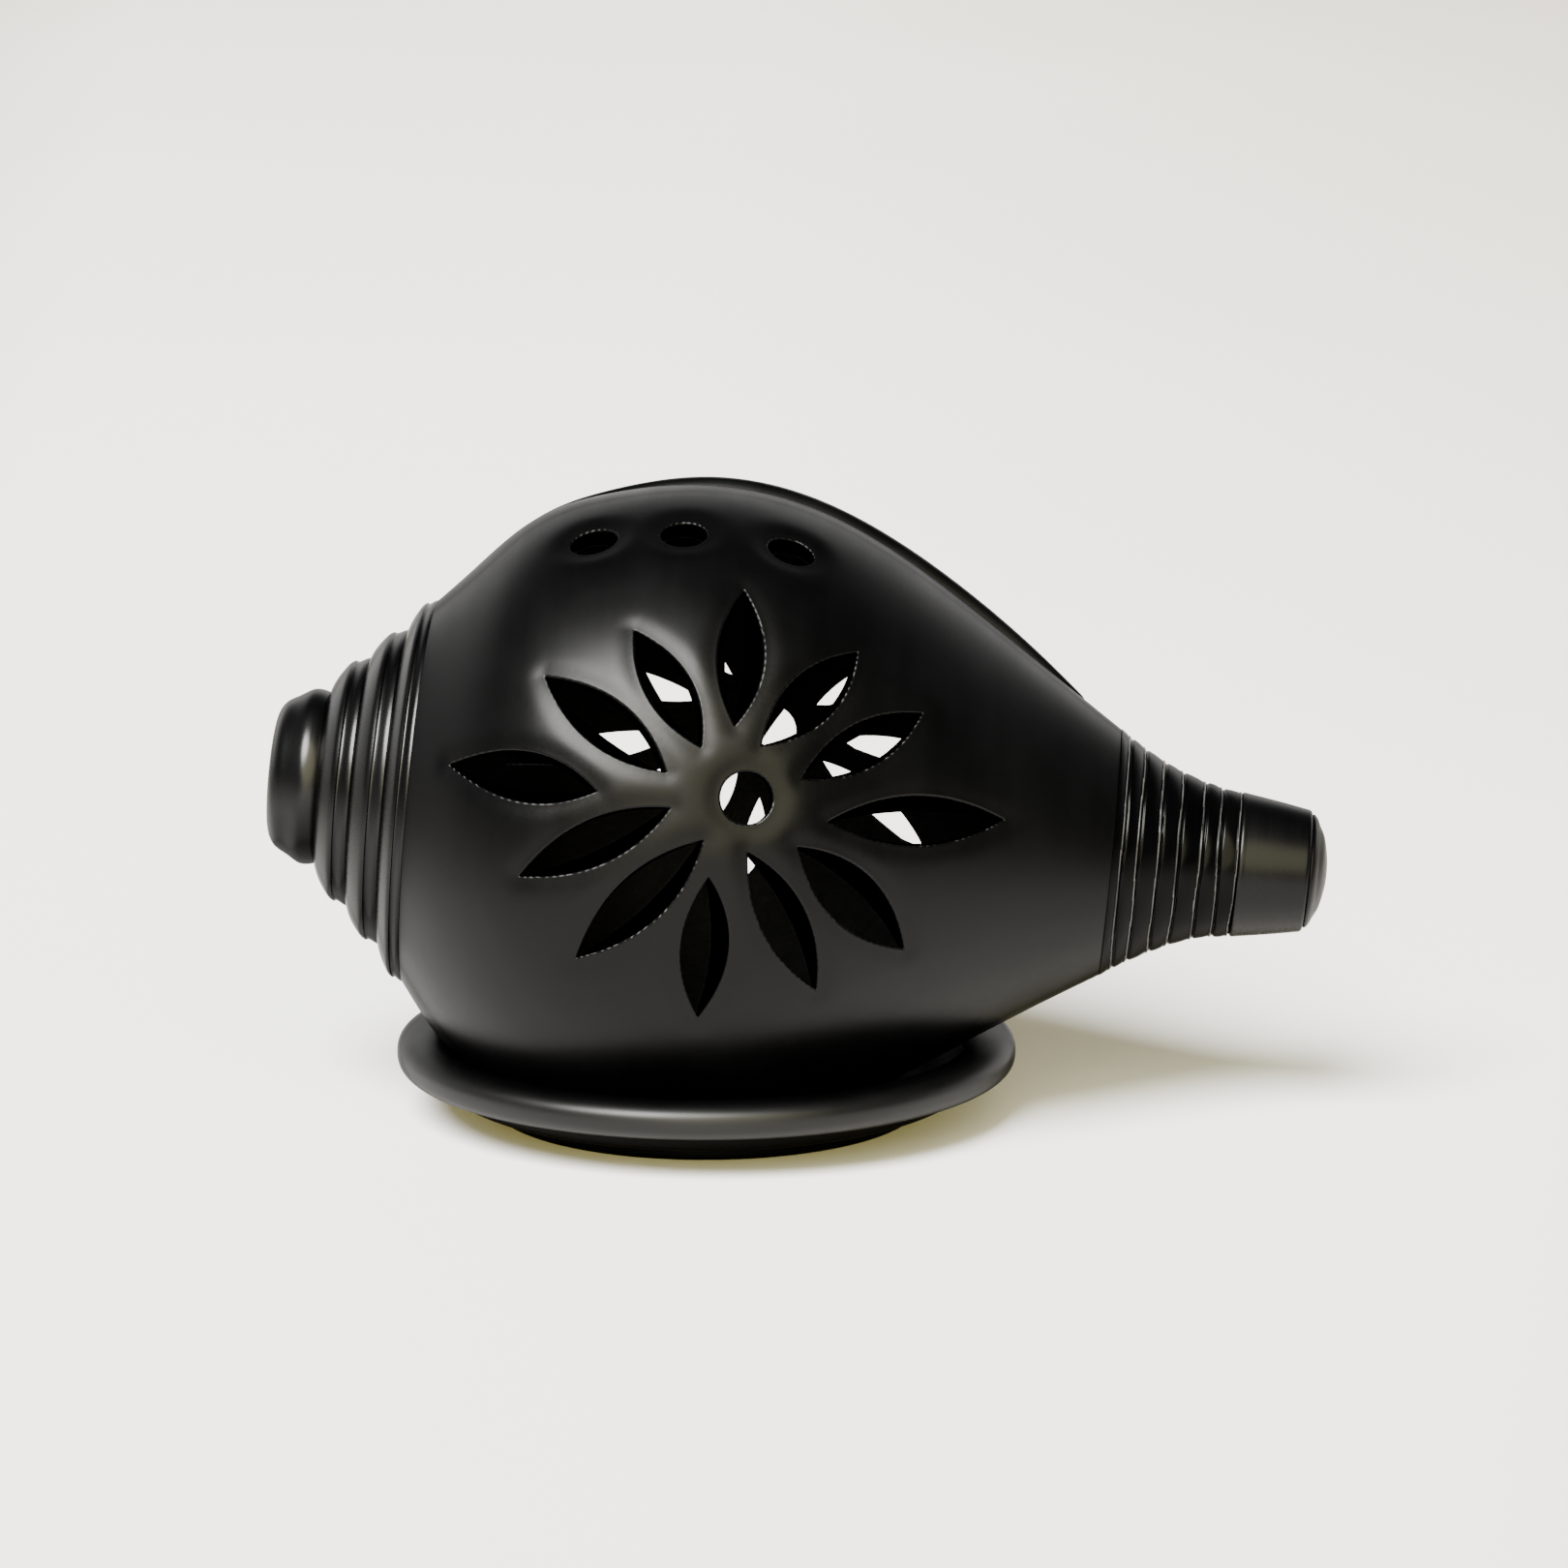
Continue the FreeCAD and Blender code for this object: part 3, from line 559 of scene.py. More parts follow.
def unrolled(skin, station, angle):
    """Flat coordinates in millimetres, for laying out triangles."""
    return np.stack((np.interp(station, skin.fine, skin.length), angle * UNROLL_R), -1)


def rolled(skin, flat):
    """Station and angle of flat coordinates."""
    return np.interp(flat[..., 0], skin.length, skin.fine), flat[..., 1] / UNROLL_R


# ---- piercings


def petal_outline(tip, end, width, shares, grow, step):
    """A petal's outline grown by some distance: two bowed sides with rounded-off tips."""
    tip, end = np.array(tip, float), np.array(end, float)
    run = end - tip
    length = np.hypot(*run)
    count = int(length / step)
    across = np.array((-run[1], run[0])) / length
    t = (1 - np.cos(np.linspace(0, pi, count + 1))) / 2 * 0.35 + np.linspace(0, 1, count + 1) * 0.65
    sides = []
    for side, share in ((1, shares[0]), (-1, shares[1])):
        bow = side * share * width / 2
        line = tip + run * t[:, None] + across * (bow * 4 * t * (1 - t))[:, None]
        slope = unit(run / length + across * (bow * 4 * (1 - 2 * t) / length)[:, None])
        out = side * np.stack((-slope[:, 1], slope[:, 0]), -1)
        sides.append((line, out))
    (one, out_one), (two, out_two) = sides
    if grow == 0:
        return np.concatenate((one[:-1], two[:0:-1]))
    fans = []
    for centre, a, b in ((one[-1], out_one[-1], out_two[-1]), (two[0], out_two[0], out_one[0])):
        start = np.arctan2(a[1], a[0])
        sweep = (np.arctan2(b[1], b[0]) - start + pi) % (2 * pi) - pi
        turn = start + np.linspace(0, sweep, 3 + int(abs(sweep) * grow / step))[1:-1]
        fans.append(centre + grow * np.stack((np.cos(turn), np.sin(turn)), -1))
    return np.concatenate(
        (one + out_one * grow, fans[0], (two + out_two * grow)[::-1], fans[1])
    )


def round_hole(radius):
    """A round outline, alike on both skins, as a function that grows it."""

    def outline(inside, grow, step):
        turn = np.linspace(0, 2 * pi, int(2 * pi * radius / step), endpoint=False)
        return (radius + grow) * np.stack((np.cos(turn), np.sin(turn)), -1)

    return outline


def petal_hole(tip, end, width, shares):
    """A petal's outline as a function that grows it; on the inner skin it bulges less."""

    def outline(inside, grow, step):
        return petal_outline(tip, end, width, shares if inside else (1, 1), grow, step)

    return outline


def plane_frame(station, up, lean, side):
    """Centre, u, v and outward normal, in the shell's frame, of a plane touching the shell."""
    radial = np.array((0, side * cos(up), sin(up)))
    along = np.array((1.0, 0, 0))
    normal = radial * cos(lean) + along * sin(lean)
    u = along * cos(lean) - radial * sin(lean)
    v = np.array((0, -side * sin(up), cos(up)))
    r, sag = OUTER.radius(station)[0], OUTER.sag(station)[0]
    centre = along * station + radial * r - np.array((0, 0, sag))
    return centre, u, v, normal


# How far from the flower's plane the skin can lie.
PLANE_REACH = 95


class Piercing:
    """One opening through the wall: an outline on each skin, and how to grow it."""

    def __init__(self, frame_of_plane, outline):
        self.frame_of_plane, self.outline = frame_of_plane, outline

    def on_skin(self, skin, grow, step):
        centre, u, v, normal = self.frame_of_plane
        flat = self.outline(skin is INNER, grow, step)
        start = centre + flat[:, :1] * u + flat[:, 1:] * v
        return skin.hit(start, -normal, PLANE_REACH)


def back_petal(direction, near, far, width):
    """A back petal, given by direction and distances, in the same terms as a front one."""
    ray = np.array((cos(radians(direction)), sin(radians(direction))))
    return ray * far, ray * near, width, LEANING[::-1]


def all_piercings():
    found = []
    back_petals = [back_petal(*petal) for petal in BACK_PETALS]
    for petals, flower in ((FRONT_PETALS, FRONT_FLOWER), (back_petals, BACK_FLOWER)):
        plane = plane_frame(*flower)
        found.append(Piercing(plane, round_hole(EYE_R)))
        found += [Piercing(plane, petal_hole(*petal)) for petal in petals]
    for station in VENTS:
        found.append(Piercing(plane_frame(station, VENT_UP, 0.0, -1), round_hole(VENT_R)))
    return found


PIERCINGS = all_piercings()
# The cut edges' rounding, and the depth and spread of the dip pressed round petals and holes.
EDGE_ROUND = 0.7
STEEPEST = 6
PETAL_DIP, ROUND_DIP, LARGEST_ROUND = (0.55, 3.7), (1.0, 4.4), 10
DIP_REACH = 2.6


def tree_of(points):
    """A search tree that finds the nearest of some points."""
    tree = KDTree(len(points))
    for index, p in enumerate(points):
        tree.insert(p, index)
    tree.balance()
    return tree


def edge_drop(distance):
    """How far the skin dips where a cut edge is rounded over, and the dip's slope."""
    near = np.clip(distance, 0, EDGE_ROUND)
    arc = np.sqrt(np.clip(EDGE_ROUND**2 - (EDGE_ROUND - near) ** 2, 1e-4, None))
    slope = np.where(distance < EDGE_ROUND, -(EDGE_ROUND - near) / arc, 0)
    return EDGE_ROUND - arc, np.maximum(slope, -STEEPEST)


def pillow_drop(local, edges):
    """The soft dip towards each opening, summed over them all, and its slope as a vector."""
    drop, slope = np.zeros(len(local)), np.zeros((len(local), 3))
    for edge in edges:
        middle = edge.mean(0)
        radius = np.linalg.norm(edge - middle, axis=1).max()
        depth, spread = ROUND_DIP if radius < LARGEST_ROUND else PETAL_DIP
        reach = radius + DIP_REACH * spread
        near = np.where(np.linalg.norm(local - middle, axis=1) < reach)[0]
        tree = tree_of(edge)
        for index in near:
            spot, _, gap = tree.find(local[index])
            dip = depth * np.exp(-((gap / spread) ** 2))
            drop[index] += dip
            slope[index] -= 2 / spread**2 * dip * (local[index] - spot)
    return drop, slope


# A point inside the level cut, and a distance from it that is outside everywhere.
CUT_MIDDLE, CUT_REACH = (-6.0, 0, FLOOR_Z), 90.0


def floor_cut(skin, count):
    """The level cut the belly stands on: its outline on the skin, from the spire end round by the
    flower side to the spout end, as stations and angles."""
    turn = np.linspace(pi, 2 * pi, count)
    direction = np.stack((np.cos(turn), np.sin(turn), np.zeros(count)), -1)
    middle = np.array(CUT_MIDDLE)
    near, far = np.zeros(count), np.full(count, CUT_REACH)
    for _ in range(HALVINGS):
        reach = (near + far) / 2
        outside = skin.outside_by(to_shell(middle + reach[:, None] * direction)) > 0
        near, far = np.where(outside, near, reach), np.where(outside, reach, far)
    local = to_shell(middle + near[:, None] * direction)
    station, angle = skin.where(local)
    angle[[0, -1]] = -pi / 2
    return station, angle


def hex_points(low, high, spacing):
    """Points in staggered rows that fill a box."""
    rows = np.arange(low[1], high[1], spacing * sqrt(3) / 2)
    columns = np.arange(low[0], high[0], spacing)
    x, y = np.meshgrid(columns, rows)
    x = x + (np.arange(len(rows)) % 2)[:, None] * spacing / 2
    return np.stack((x.ravel(), y.ravel()), -1)


def inside_polygon(points, polygon):
    """Which points lie inside a closed polygon."""
    x, y = points[:, 0], points[:, 1]
    inside = np.zeros(len(points), bool)
    a, b = polygon, np.roll(polygon, -1, 0)
    low, high = polygon.min(0), polygon.max(0)
    near = np.where((x > low[0]) & (x < high[0]) & (y > low[1]) & (y < high[1]))[0]
    px, py = x[near], y[near]
    hit = np.zeros(len(near), bool)
    for (ax, ay), (bx, by) in zip(a, b):
        crosses = (ay > py) != (by > py)
        if ay != by:
            hit ^= crosses & (px < (bx - ax) * (py - ay) / (by - ay) + ax)
    inside[near] = hit
    return inside


OUTLINE_STEP = 0.35
# The belly's two ends: points round, and two straight rows of points with room behind them. The
# second row, the room and the clearance from the border are shares of the spacing. RING_CLEAR is
# the share of its distance that a ring's point must keep from every opening.
END_SEGMENTS, END_ROW, END_SECOND_ROW, END_ROOM = 200, 0.35, 0.7, 1.3
BORDER_CLEAR, RING_CLEAR = 0.45, 0.86
# The half-size triangles round the openings, in multiples of the widest ring's distance.
DENSE_FROM, DENSE_TO, FAR_AWAY = 1.35, 3.2, 1e9


def skin_mesh(skin, spacing, ring_steps, step, cut_count):
    """Triangles over one skin, dense beside the cuts. Returns row-frame points, normals, faces and
    the outlines' own points (one list of indices per piercing, per floor-cut half and per end)."""
    verts, edges, loops = [], [], []

    def add(flat):
        start = len(verts)
        verts.extend(map(tuple, flat))
        return list(range(start, len(verts)))

    def chain(ids, closed=False):
        edges.extend(zip(ids, ids[1:] + ids[:1] if closed else ids[1:]))

    def level(along, height):
        return np.stack((along, np.full_like(along, height)), -1)

    def upright(along):
        return np.stack((np.full_like(climb, along), climb), -1)

    holes = []
    for piercing in PIERCINGS:
        flat = unrolled(skin, *piercing.on_skin(skin, 0, step))
        holes.append(flat)
        loops.append(add(flat))
        chain(loops[-1], closed=True)
    station, angle = floor_cut(skin, cut_count)
    front = unrolled(skin, station, angle)
    back = unrolled(skin, station, pi - angle)
    first, last = unrolled(skin, np.array((BELLY, NECK)), np.array((-pi / 2, -pi / 2)))[:, 0]
    low, high = -pi / 2 * UNROLL_R, 1.5 * pi * UNROLL_R
    seam_a = np.linspace(first, front[0, 0], 2 + int((front[0, 0] - first) / spacing))[:-1]
    seam_b = np.linspace(front[-1, 0], last, 2 + int((last - front[-1, 0]) / spacing))[1:]
    bottom = np.concatenate((level(seam_a, low), front, level(seam_b, low)))
    top = np.concatenate((level(seam_a, high), back, level(seam_b, high)))
    climb = np.linspace(low, high, END_SEGMENTS + 1)[1:-1]
    bottom_ids, top_ids = add(bottom), add(top)
    ends = [
        [bottom_ids[0]] + add(upright(first)) + [top_ids[0]],
        [bottom_ids[-1]] + add(upright(last)) + [top_ids[-1]],
    ]
    for line in (bottom_ids, top_ids, *ends):
        chain(line)
    a = len(seam_a)
    cuts = (bottom_ids[a : a + cut_count], top_ids[a : a + cut_count])
    border = np.concatenate((bottom, top[::-1]))

    fine = [skin.point(*p.on_skin(skin, 0, OUTLINE_STEP)) for p in PIERCINGS]
    tree = tree_of(np.concatenate(fine))

    def distances(flat):
        return np.array([tree.find(p)[2] for p in skin.point(*rolled(skin, flat))])

    extra = []
    for ring in ring_steps:
        for piercing in PIERCINGS:
            flat = unrolled(skin, *piercing.on_skin(skin, ring, step))
            extra.append(flat[distances(flat) > ring * RING_CLEAR])
    reach = ring_steps[-1]
    for gap in (END_ROW, spacing * END_SECOND_ROW):
        extra += [upright(first + gap), upright(last - gap)]
    inset = spacing * END_ROOM
    for size, nearest, furthest in (
        (spacing * 0.5, reach * DENSE_FROM, reach * DENSE_TO),
        (spacing, reach * DENSE_TO, FAR_AWAY),
    ):
        flat = hex_points((first + inset, low + size), (last - inset, high - size), size)
        d = distances(flat)
        extra.append(flat[(d > nearest) & (d < furthest)])
    extra = np.concatenate(extra)
    extra = extra[inside_polygon(extra, border)]
    outline = tree_of([(*p, 0) for p in border])
    clear = np.array([outline.find((*p, 0))[2] for p in extra]) > spacing * BORDER_CLEAR
    extra = extra[clear]
    for hole in holes:
        extra = extra[~inside_polygon(extra, hole)]
    add(extra)

    flat_verts = [Vector(v) for v in verts]
    out, _, faces, origin, _, _ = delaunay_2d_cdt(flat_verts, edges, [], 0, 1e-5)
    flat = np.array([tuple(v) for v in out])
    renamed = {}
    for new, olds in enumerate(origin):
        for old in olds:
            renamed[old] = new
    faces = np.array([f for f in faces if len(f) == 3])
    middle = flat[faces].mean(1)
    keep = inside_polygon(middle, border)
    for hole in holes:
        keep &= ~inside_polygon(middle, hole)
    faces = faces[keep]

    station, angle = rolled(skin, flat)
    local, normal = skin.point(station, angle), skin.normal(station, angle)
    gap = np.empty(len(local))
    away = np.zeros_like(local)
    for index, p in enumerate(local):
        nearest, _, gap[index] = tree.find(p)
        away[index] = p - np.array(nearest)
    away = unit(away)
    for loop in loops:
        ids = np.array([renamed[i] for i in loop])
        outward = local[ids] - local[ids].mean(0)
        along = np.roll(local[ids], -1, 0) - np.roll(local[ids], 1, 0)
        side = np.cross(along, normal[ids])
        side *= np.sign((side * outward).sum(1))[:, None]
        away[ids] = unit(side)
        gap[ids] = 0
    drop, slope = edge_drop(gap)
    slope = away * slope[:, None]
    if skin is OUTER:
        dip, dip_slope = pillow_drop(local, fine)
        drop, slope = drop + dip, slope + dip_slope
    local = local - normal * drop[:, None]
    mesh = {
        "points": from_shell(local),
        "normals": turn_to_row(unit(normal + slope)),
        "faces": faces if skin is OUTER else faces[:, ::-1],
    }
    for key, lines in (("holes", loops), ("cuts", cuts), ("ends", ends)):
        mesh[key] = [[renamed[i] for i in line] for line in lines]
    return mesh


def strip(outer_points, inner_points, rows, closed):
    """A wall between two matching lines of points: points, normals and quads."""
    share = np.linspace(0, 1, rows)[:, None, None]
    points = outer_points * (1 - share) + inner_points * share
    along = np.roll(points, -1, 1) - np.roll(points, 1, 1)
    if not closed:
        along[:, 0], along[:, -1] = points[:, 1] - points[:, 0], points[:, -1] - points[:, -2]
    down = np.repeat((inner_points - outer_points)[None], rows, 0)
    normals = unit(np.cross(along, down))
    faces = lattice_faces(rows, points.shape[1], wrap_columns=closed)
    return points.reshape(-1, 3), normals.reshape(-1, 3), faces


# Triangle size on each skin, and the distances of the rings of points round each opening.
OUTER_SPACING, OUTER_RINGS = 2.6, (0.16, 0.38, 0.7, 1.3, 2.2)
INNER_SPACING, INNER_RINGS = 4.2, (0.3, 0.8)
RING_STEP, CUT_POINTS = 0.85, 160
CUT_ROWS = 5


def build_belly():
    """Both skins of the pierced wall, joined by the walls of the openings, the level cut and the
    two ends. Faces of kind 0 are burnished and of kind 1 bare."""
    outer = skin_mesh(OUTER, OUTER_SPACING, OUTER_RINGS, RING_STEP, CUT_POINTS)
    inner = skin_mesh(INNER, INNER_SPACING, INNER_RINGS, RING_STEP, CUT_POINTS)
    points, normals, faces, kinds = [], [], [], []
    total = 0

    def add(p, n, f, kind):
        nonlocal total
        points.append(p)
        normals.append(n)
        faces.extend((np.asarray(f) + total).tolist())
        kinds.extend([kind] * len(f))
        total += len(p)

    add(outer["points"], outer["normals"], outer["faces"], 0)
    add(inner["points"], inner["normals"], inner["faces"], 1)
    for out_ids, in_ids in zip(outer["holes"], inner["holes"]):
        a, b = outer["points"][out_ids], inner["points"][in_ids]
        p, n, f = strip(a, b, CUT_ROWS, closed=True)
        towards = a.mean(0) - a
        flip = np.sign((n[: len(a)] * towards).sum())
        add(p, n * flip, f if flip < 0 else f[:, ::-1], 1)
    for key in ("cuts", "ends"):
        for out_ids, in_ids in zip(outer[key], inner[key]):
            a, b = outer["points"][out_ids], inner["points"][in_ids]
            p, n, f = strip(a, b, 2, closed=False)
            wanted = np.array((0, 0, -1.0))
            if key == "ends":
                wanted = a.mean(0) - np.array((0, 0, a[:, 2].mean()))
            flip = np.sign((n * wanted).sum())
            add(p, n * flip, f if flip < 0 else f[:, ::-1], 1)
    p, f, n = weld(np.concatenate(points), faces, np.concatenate(normals))
    clays = [SHELL_CLAY, CUT_CLAY]
    make_piece("belly_clay", p, f, "cover", ["belly"], clays, kinds[: len(f)], n)


# ---- spire


def hand_wobble(seed, shift, swell):
    """Small slow unevenness round a piece, as a wobble for lathe()."""
    rng = np.random.default_rng(seed)
    phase = rng.uniform(0, 2 * pi, 8)

    def wobble(along, angle, radius):
        a = np.sin(angle + phase[0]) + 0.6 * np.sin(2 * angle + phase[1])
        a = a + 0.35 * np.sin(5 * angle + phase[2])
        b = np.sin(2 * angle + phase[3] + along * 0.05) + 0.5 * np.sin(3 * angle + phase[4])
        b = b + 0.25 * np.sin(7 * angle + phase[5] + along * 0.1)
        return shift * a, swell * b

    return wobble


def build_knob():
    """The rounded end of the spire, hollow behind."""
    crest = (12.3, KNOB_R)
    face = ((KNOB, 0), (0.25, 8), (0.7, 14), (1.5, 18.2), (3.4, 21.0), (6.4, 22.8), (9.2, 24.5))
    outer = curve_through(face + ((11.0, 25.3), crest), 46)
    band = curve_through((crest, (13.2, 25.3), (14.4, 25.05), (SMALL, 24.7)), 12)
    inner = np.array(((SMALL, SMALL_R - WALL), (WALL + 1, 15.2), (WALL, 14.0), (WALL, 0)))
    profile = joined(outer, band, inner)
    wobble = hand_wobble(1, 0.0, 0.10)
    turned("spire_knob", SPIRE_CLAY, profile, 240, wobble)


def build_tier(size, start, end, foot_r, top_r, drop, seed):
    """A step of the spire: a steep bulge, a fine crease, and a shallow band up to the next piece."""
    length, rise = end - start, top_r - foot_r
    bulge = [(0, 0), (0.10, 0.27), (0.24, 0.52), (0.40, 0.74), (0.53, 0.865), (0.61, 0.90)]
    band = [(0.61, 0.90), (0.645, 0.872), (0.72, 0.885), (0.84, 0.95), (0.94, 0.992), (1, 1)]
    runs = []
    for shares, count in ((bulge, 34), (band, 20)):
        line = [(start + x * length, foot_r + y * rise) for x, y in shares]
        runs.append(curve_through(line, count))
    profile = joined(*runs, np.array(((end, top_r - WALL), (start, foot_r - WALL))))
    wobble = hand_wobble(seed, 0.0, 0.12)
    turned(f"spire_tier_{size}", SPIRE_CLAY, profile, 288, wobble, drop)


def build_spire():
    build_knob()
    build_tier("small", SMALL, MIDDLE, SMALL_R, MIDDLE_R, SMALL_DROP, 2)
    build_tier("middle", MIDDLE, LARGE, MIDDLE_R, LARGE_R, MIDDLE_DROP, 3)
    build_tier("large", LARGE, BELLY, LARGE_R, BELLY_R, LARGE_DROP, 4)


# ---- neck and spout

NECK_RIDGES = (244.8, 249.2, 255.0, 260.4, 267.0, 272.4, SPOUT - 0.5)
# How high the coils and ridges stand, how deep the crease after each ridge is, half widths (the
# last that of the painted highlight along each ridge's crest), and how far the coils' ground lies inside
# the neck's outline.
COIL_HIGH, RIDGE_HIGH, CREASE_DEEP = 0.5, 0.42, 0.40
RIDGE_HALF, CREASE_HALF, CREASE_AFTER, RIDGE_HIGHLIGHT_HALF = 0.26, 0.35, 0.75, 0.17
NECK_INSET = 0.3


def neck_radius(station):
    """The waisted neck's outline, wide at the belly and slim at the spout."""
    share = (station - NECK) / (SPOUT - NECK)
    return SPOUT_R + (NECK_R - SPOUT_R) * ((1 - share) ** 1.75 + 0.06 * share * (1 - share))


def build_neck():
    """Seven coils smoothed together, each a flat swelling that ends in a thin raised ridge. The
    inner wall stops a little short of the belly, where the joint hides it."""
    rng = np.random.default_rng(11)
    tilts = rng.uniform(-0.35, 0.35, len(NECK_RIDGES))
    phases = rng.uniform(0, 2 * pi, (len(NECK_RIDGES), 3))
    ridges = list(zip(NECK_RIDGES, tilts, phases))

    def ridge_line(ridge, tilt, phase, angle):
        """Where a hand-drawn ridge runs, as stations by angle."""
        line = ridge + tilt * np.sin(angle + phase[0]) + 0.12 * np.sin(4 * angle + phase[1])
        return line + 0.05 * np.sin(9 * angle + phase[2])

    def wobble(along, angle, radius):
        swell = np.zeros_like(along)
        outside = radius > neck_radius(np.clip(along, NECK, SPOUT)) - 2
        before = NECK - 1.2
        for ridge, tilt, phase in ridges:
            middle = ridge_line(ridge, tilt, phase, angle)
            share = np.clip((along - before) / (middle - before), 0, 1)
            coil = COIL_HIGH * np.sin(pi * share) ** 0.7
            coil = coil * (1 + 0.25 * np.sin(3 * angle + phase[2]))
            swell += np.where((along > before) & (along < middle), coil, 0)
            swell += RIDGE_HIGH * np.exp(-(((along - middle) / RIDGE_HALF) ** 2))
            after = along - middle - CREASE_AFTER
            swell -= CREASE_DEEP * np.exp(-((after / CREASE_HALF) ** 2))
            before = middle
        return 0 * along, np.where(outside, swell - NECK_INSET, 0)

    stations = np.linspace(NECK, SPOUT, 230)
    outer = np.stack((stations, neck_radius(stations)), -1)
    inner = curve_through(((SPOUT, SPOUT_R - WALL), (257.0, 19.4), (NECK, NECK_R - WALL)), 12)
    p, f = lathe(joined(outer, inner[:-1]), 300, wobble)
    middles = to_shell(np.array([p[face].mean(0) for face in f]))
    station, angle = middles[:, 0], np.arctan2(middles[:, 2], -middles[:, 1])
    skin_radius = neck_radius(np.clip(station, NECK, SPOUT))
    outside = np.hypot(middles[:, 1], middles[:, 2]) > skin_radius - 1
    # Faces along each ridge's crest take the painted highlight.
    painted_light = np.zeros(len(f), bool)
    for ridge, tilt, phase in ridges:
        painted_light |= np.abs(station - ridge_line(ridge, tilt, phase, angle)) < RIDGE_HIGHLIGHT_HALF
    clays = [NECK_CLAY, RIDGE_HIGHLIGHT_CLAY]
    make_piece("neck_clay", p, f, "cover", ["neck"], clays, painted_light & outside)


def build_spout():
    """The plain tapering tube with softened ends, and the small domed lid that closes it."""
    shoulder, brink = (SPOUT + 2, SPOUT_R - 0.2), (CAP - 1.3, SPOUT_END_R + 0.05)
    start = curve_through(((SPOUT, SPOUT_R - 0.9), (SPOUT + 0.5, SPOUT_R - 0.15), shoulder), 10)
    side = curve_through((shoulder, (288.0, 19.25), brink), 40)
    end = curve_through((brink, (CAP - 0.5, SPOUT_END_R - 0.25), (CAP, CAP_R - 0.35)), 10)
    inner = np.array(((CAP, SPOUT_END_R - WALL), (SPOUT, SPOUT_R - WALL)))
    profile, wobble = joined(start, side, end, inner), hand_wobble(6, 0.0, 0.10)
    turned("spout", BAND_CLAY, profile, 240, wobble)
    height = TIP - CAP
    dome = [(0, CAP_R - 0.75), (0.06, CAP_R - 0.35), (0.22, CAP_R - 0.9), (0.42, 13.6), (0.66, 11.0)]
    dome += [(0.84, 7.6), (0.95, 4.2), (1, 0)]
    line = curve_through([(CAP + x * height, r) for x, r in dome], 40)
    line[-1] = TIP, 0
    profile, wobble = np.concatenate((((CAP, 0),), line)), hand_wobble(7, 0.0, 0.08)
    turned("spout_cap", BAND_CLAY, profile, 200, wobble)


# ---- lip


LIP_STATIONS = (62, 88.4, 118.4, 153.4, 188.4, 219.4, 231)
LIP_RISE = (0.2, 1.3, 3.0, 3.2, 3.3, 2.0, 0.5)
LIP_LOW, LIP_HIGH = radians(101.5), radians(114.5)
LIP_END_ROUND, LIP_SUNK, LIP_ROOT = 1.2, 0.15, 1.2


def build_lip():
    """The coil laid behind the ridge: steep sides, a soft crown, and blunt ends."""
    stations = np.linspace(LIP_STATIONS[0], LIP_STATIONS[-1], 220)
    rise = spline(LIP_STATIONS, LIP_RISE)(stations)[0]
    end = np.clip((LIP_STATIONS[-1] - stations) / LIP_END_ROUND, 0, 1) ** 0.5
    across = np.linspace(-1, 1, 25)
    shape = (1 - np.abs(across) ** 5) ** 0.5
    angle = (LIP_LOW + LIP_HIGH) / 2 + (LIP_HIGH - LIP_LOW) / 2 * across
    station, turn = np.meshgrid(stations, angle, indexing="ij")
    lift = (rise * end)[:, None] * shape[None] - LIP_SUNK
    top = OUTER.point(station, turn) + OUTER.normal(station, turn) * lift[..., None]
    base = OUTER.point(station, turn) - OUTER.normal(station, turn) * LIP_ROOT
    ring = np.concatenate((top, base[:, -2:0:-1]), 1)
    rows, columns = ring.shape[:2]
    faces = lattice_faces(rows, columns).tolist()
    faces += [list(range(columns))[::-1], [(rows - 1) * columns + c for c in range(columns)]]
    points = from_shell(ring).reshape(-1, 3)
    make_piece("back_lip_clay", points, faces, "cover", ["back_lip"], [SHELL_CLAY])


# ---- dish


IN_DISH = {"body": "dish", "slot": "dish_clay"}


def build_rim():
    """The thick roll round the dish, its section a slightly squared oval."""
    turn = np.linspace(0, 2 * pi, 72, endpoint=False)
    squash = 1 - 0.04 * np.cos(4 * turn)
    height = RIM_Z + RIM_HIGH * RIM_FILL * np.sin(turn) * squash
    radius = RIM_R + RIM_WIDE * RIM_FILL * np.cos(turn) * squash
    section, wobble = np.stack((height, radius), -1), hand_wobble(21, 0.12, 0.10)
    turned("rim_roll", DISH_CLAY, section, 400, wobble, **IN_DISH)


def build_bowl():
    """The dish's flat floor and short curved wall, which runs up into the rim's roll."""
    heel, outside, inside = (FOOT_TOP, FOOT_R + 1.5), (13.4, RIM_R - 0.8), (14.9, RIM_R - 6.8)
    under = curve_through((heel, (5.2, 70.5), (8.6, 77.2), outside), 26)
    floor = np.array(((FLOOR_Z, 0), (FOOT_TOP, 0), heel))
    brim = np.array((outside, (17.0, RIM_R - 2), inside))
    well = curve_through((inside, (10.6, 71.6), (8.5, 67.6), (FLOOR_Z, DISH_FLOOR_R)), 20)
    profile = joined(floor, under, brim, well)
    turned("dish_bowl", FOOT_CLAY, profile, 300, **IN_DISH)


def build_foot():
    """The low ring under the dish, with its outer edge softened."""
    bore, tread, top = (0, FOOT_BORE + 0.8), (0, FOOT_R - 1.0), (FOOT_TOP, FOOT_R - 0.4)
    profile = joined(
        curve_through((bore, (0, 56.0), tread), 8),
        curve_through((tread, (0.25, FOOT_R - 0.3), (1.0, FOOT_R), top), 12),
        np.array((top, (FOOT_TOP, FOOT_BORE - 0.6), (0.7, FOOT_BORE), bore)),
    )
    turned("foot_ring", FOOT_CLAY, profile, 300, **IN_DISH)


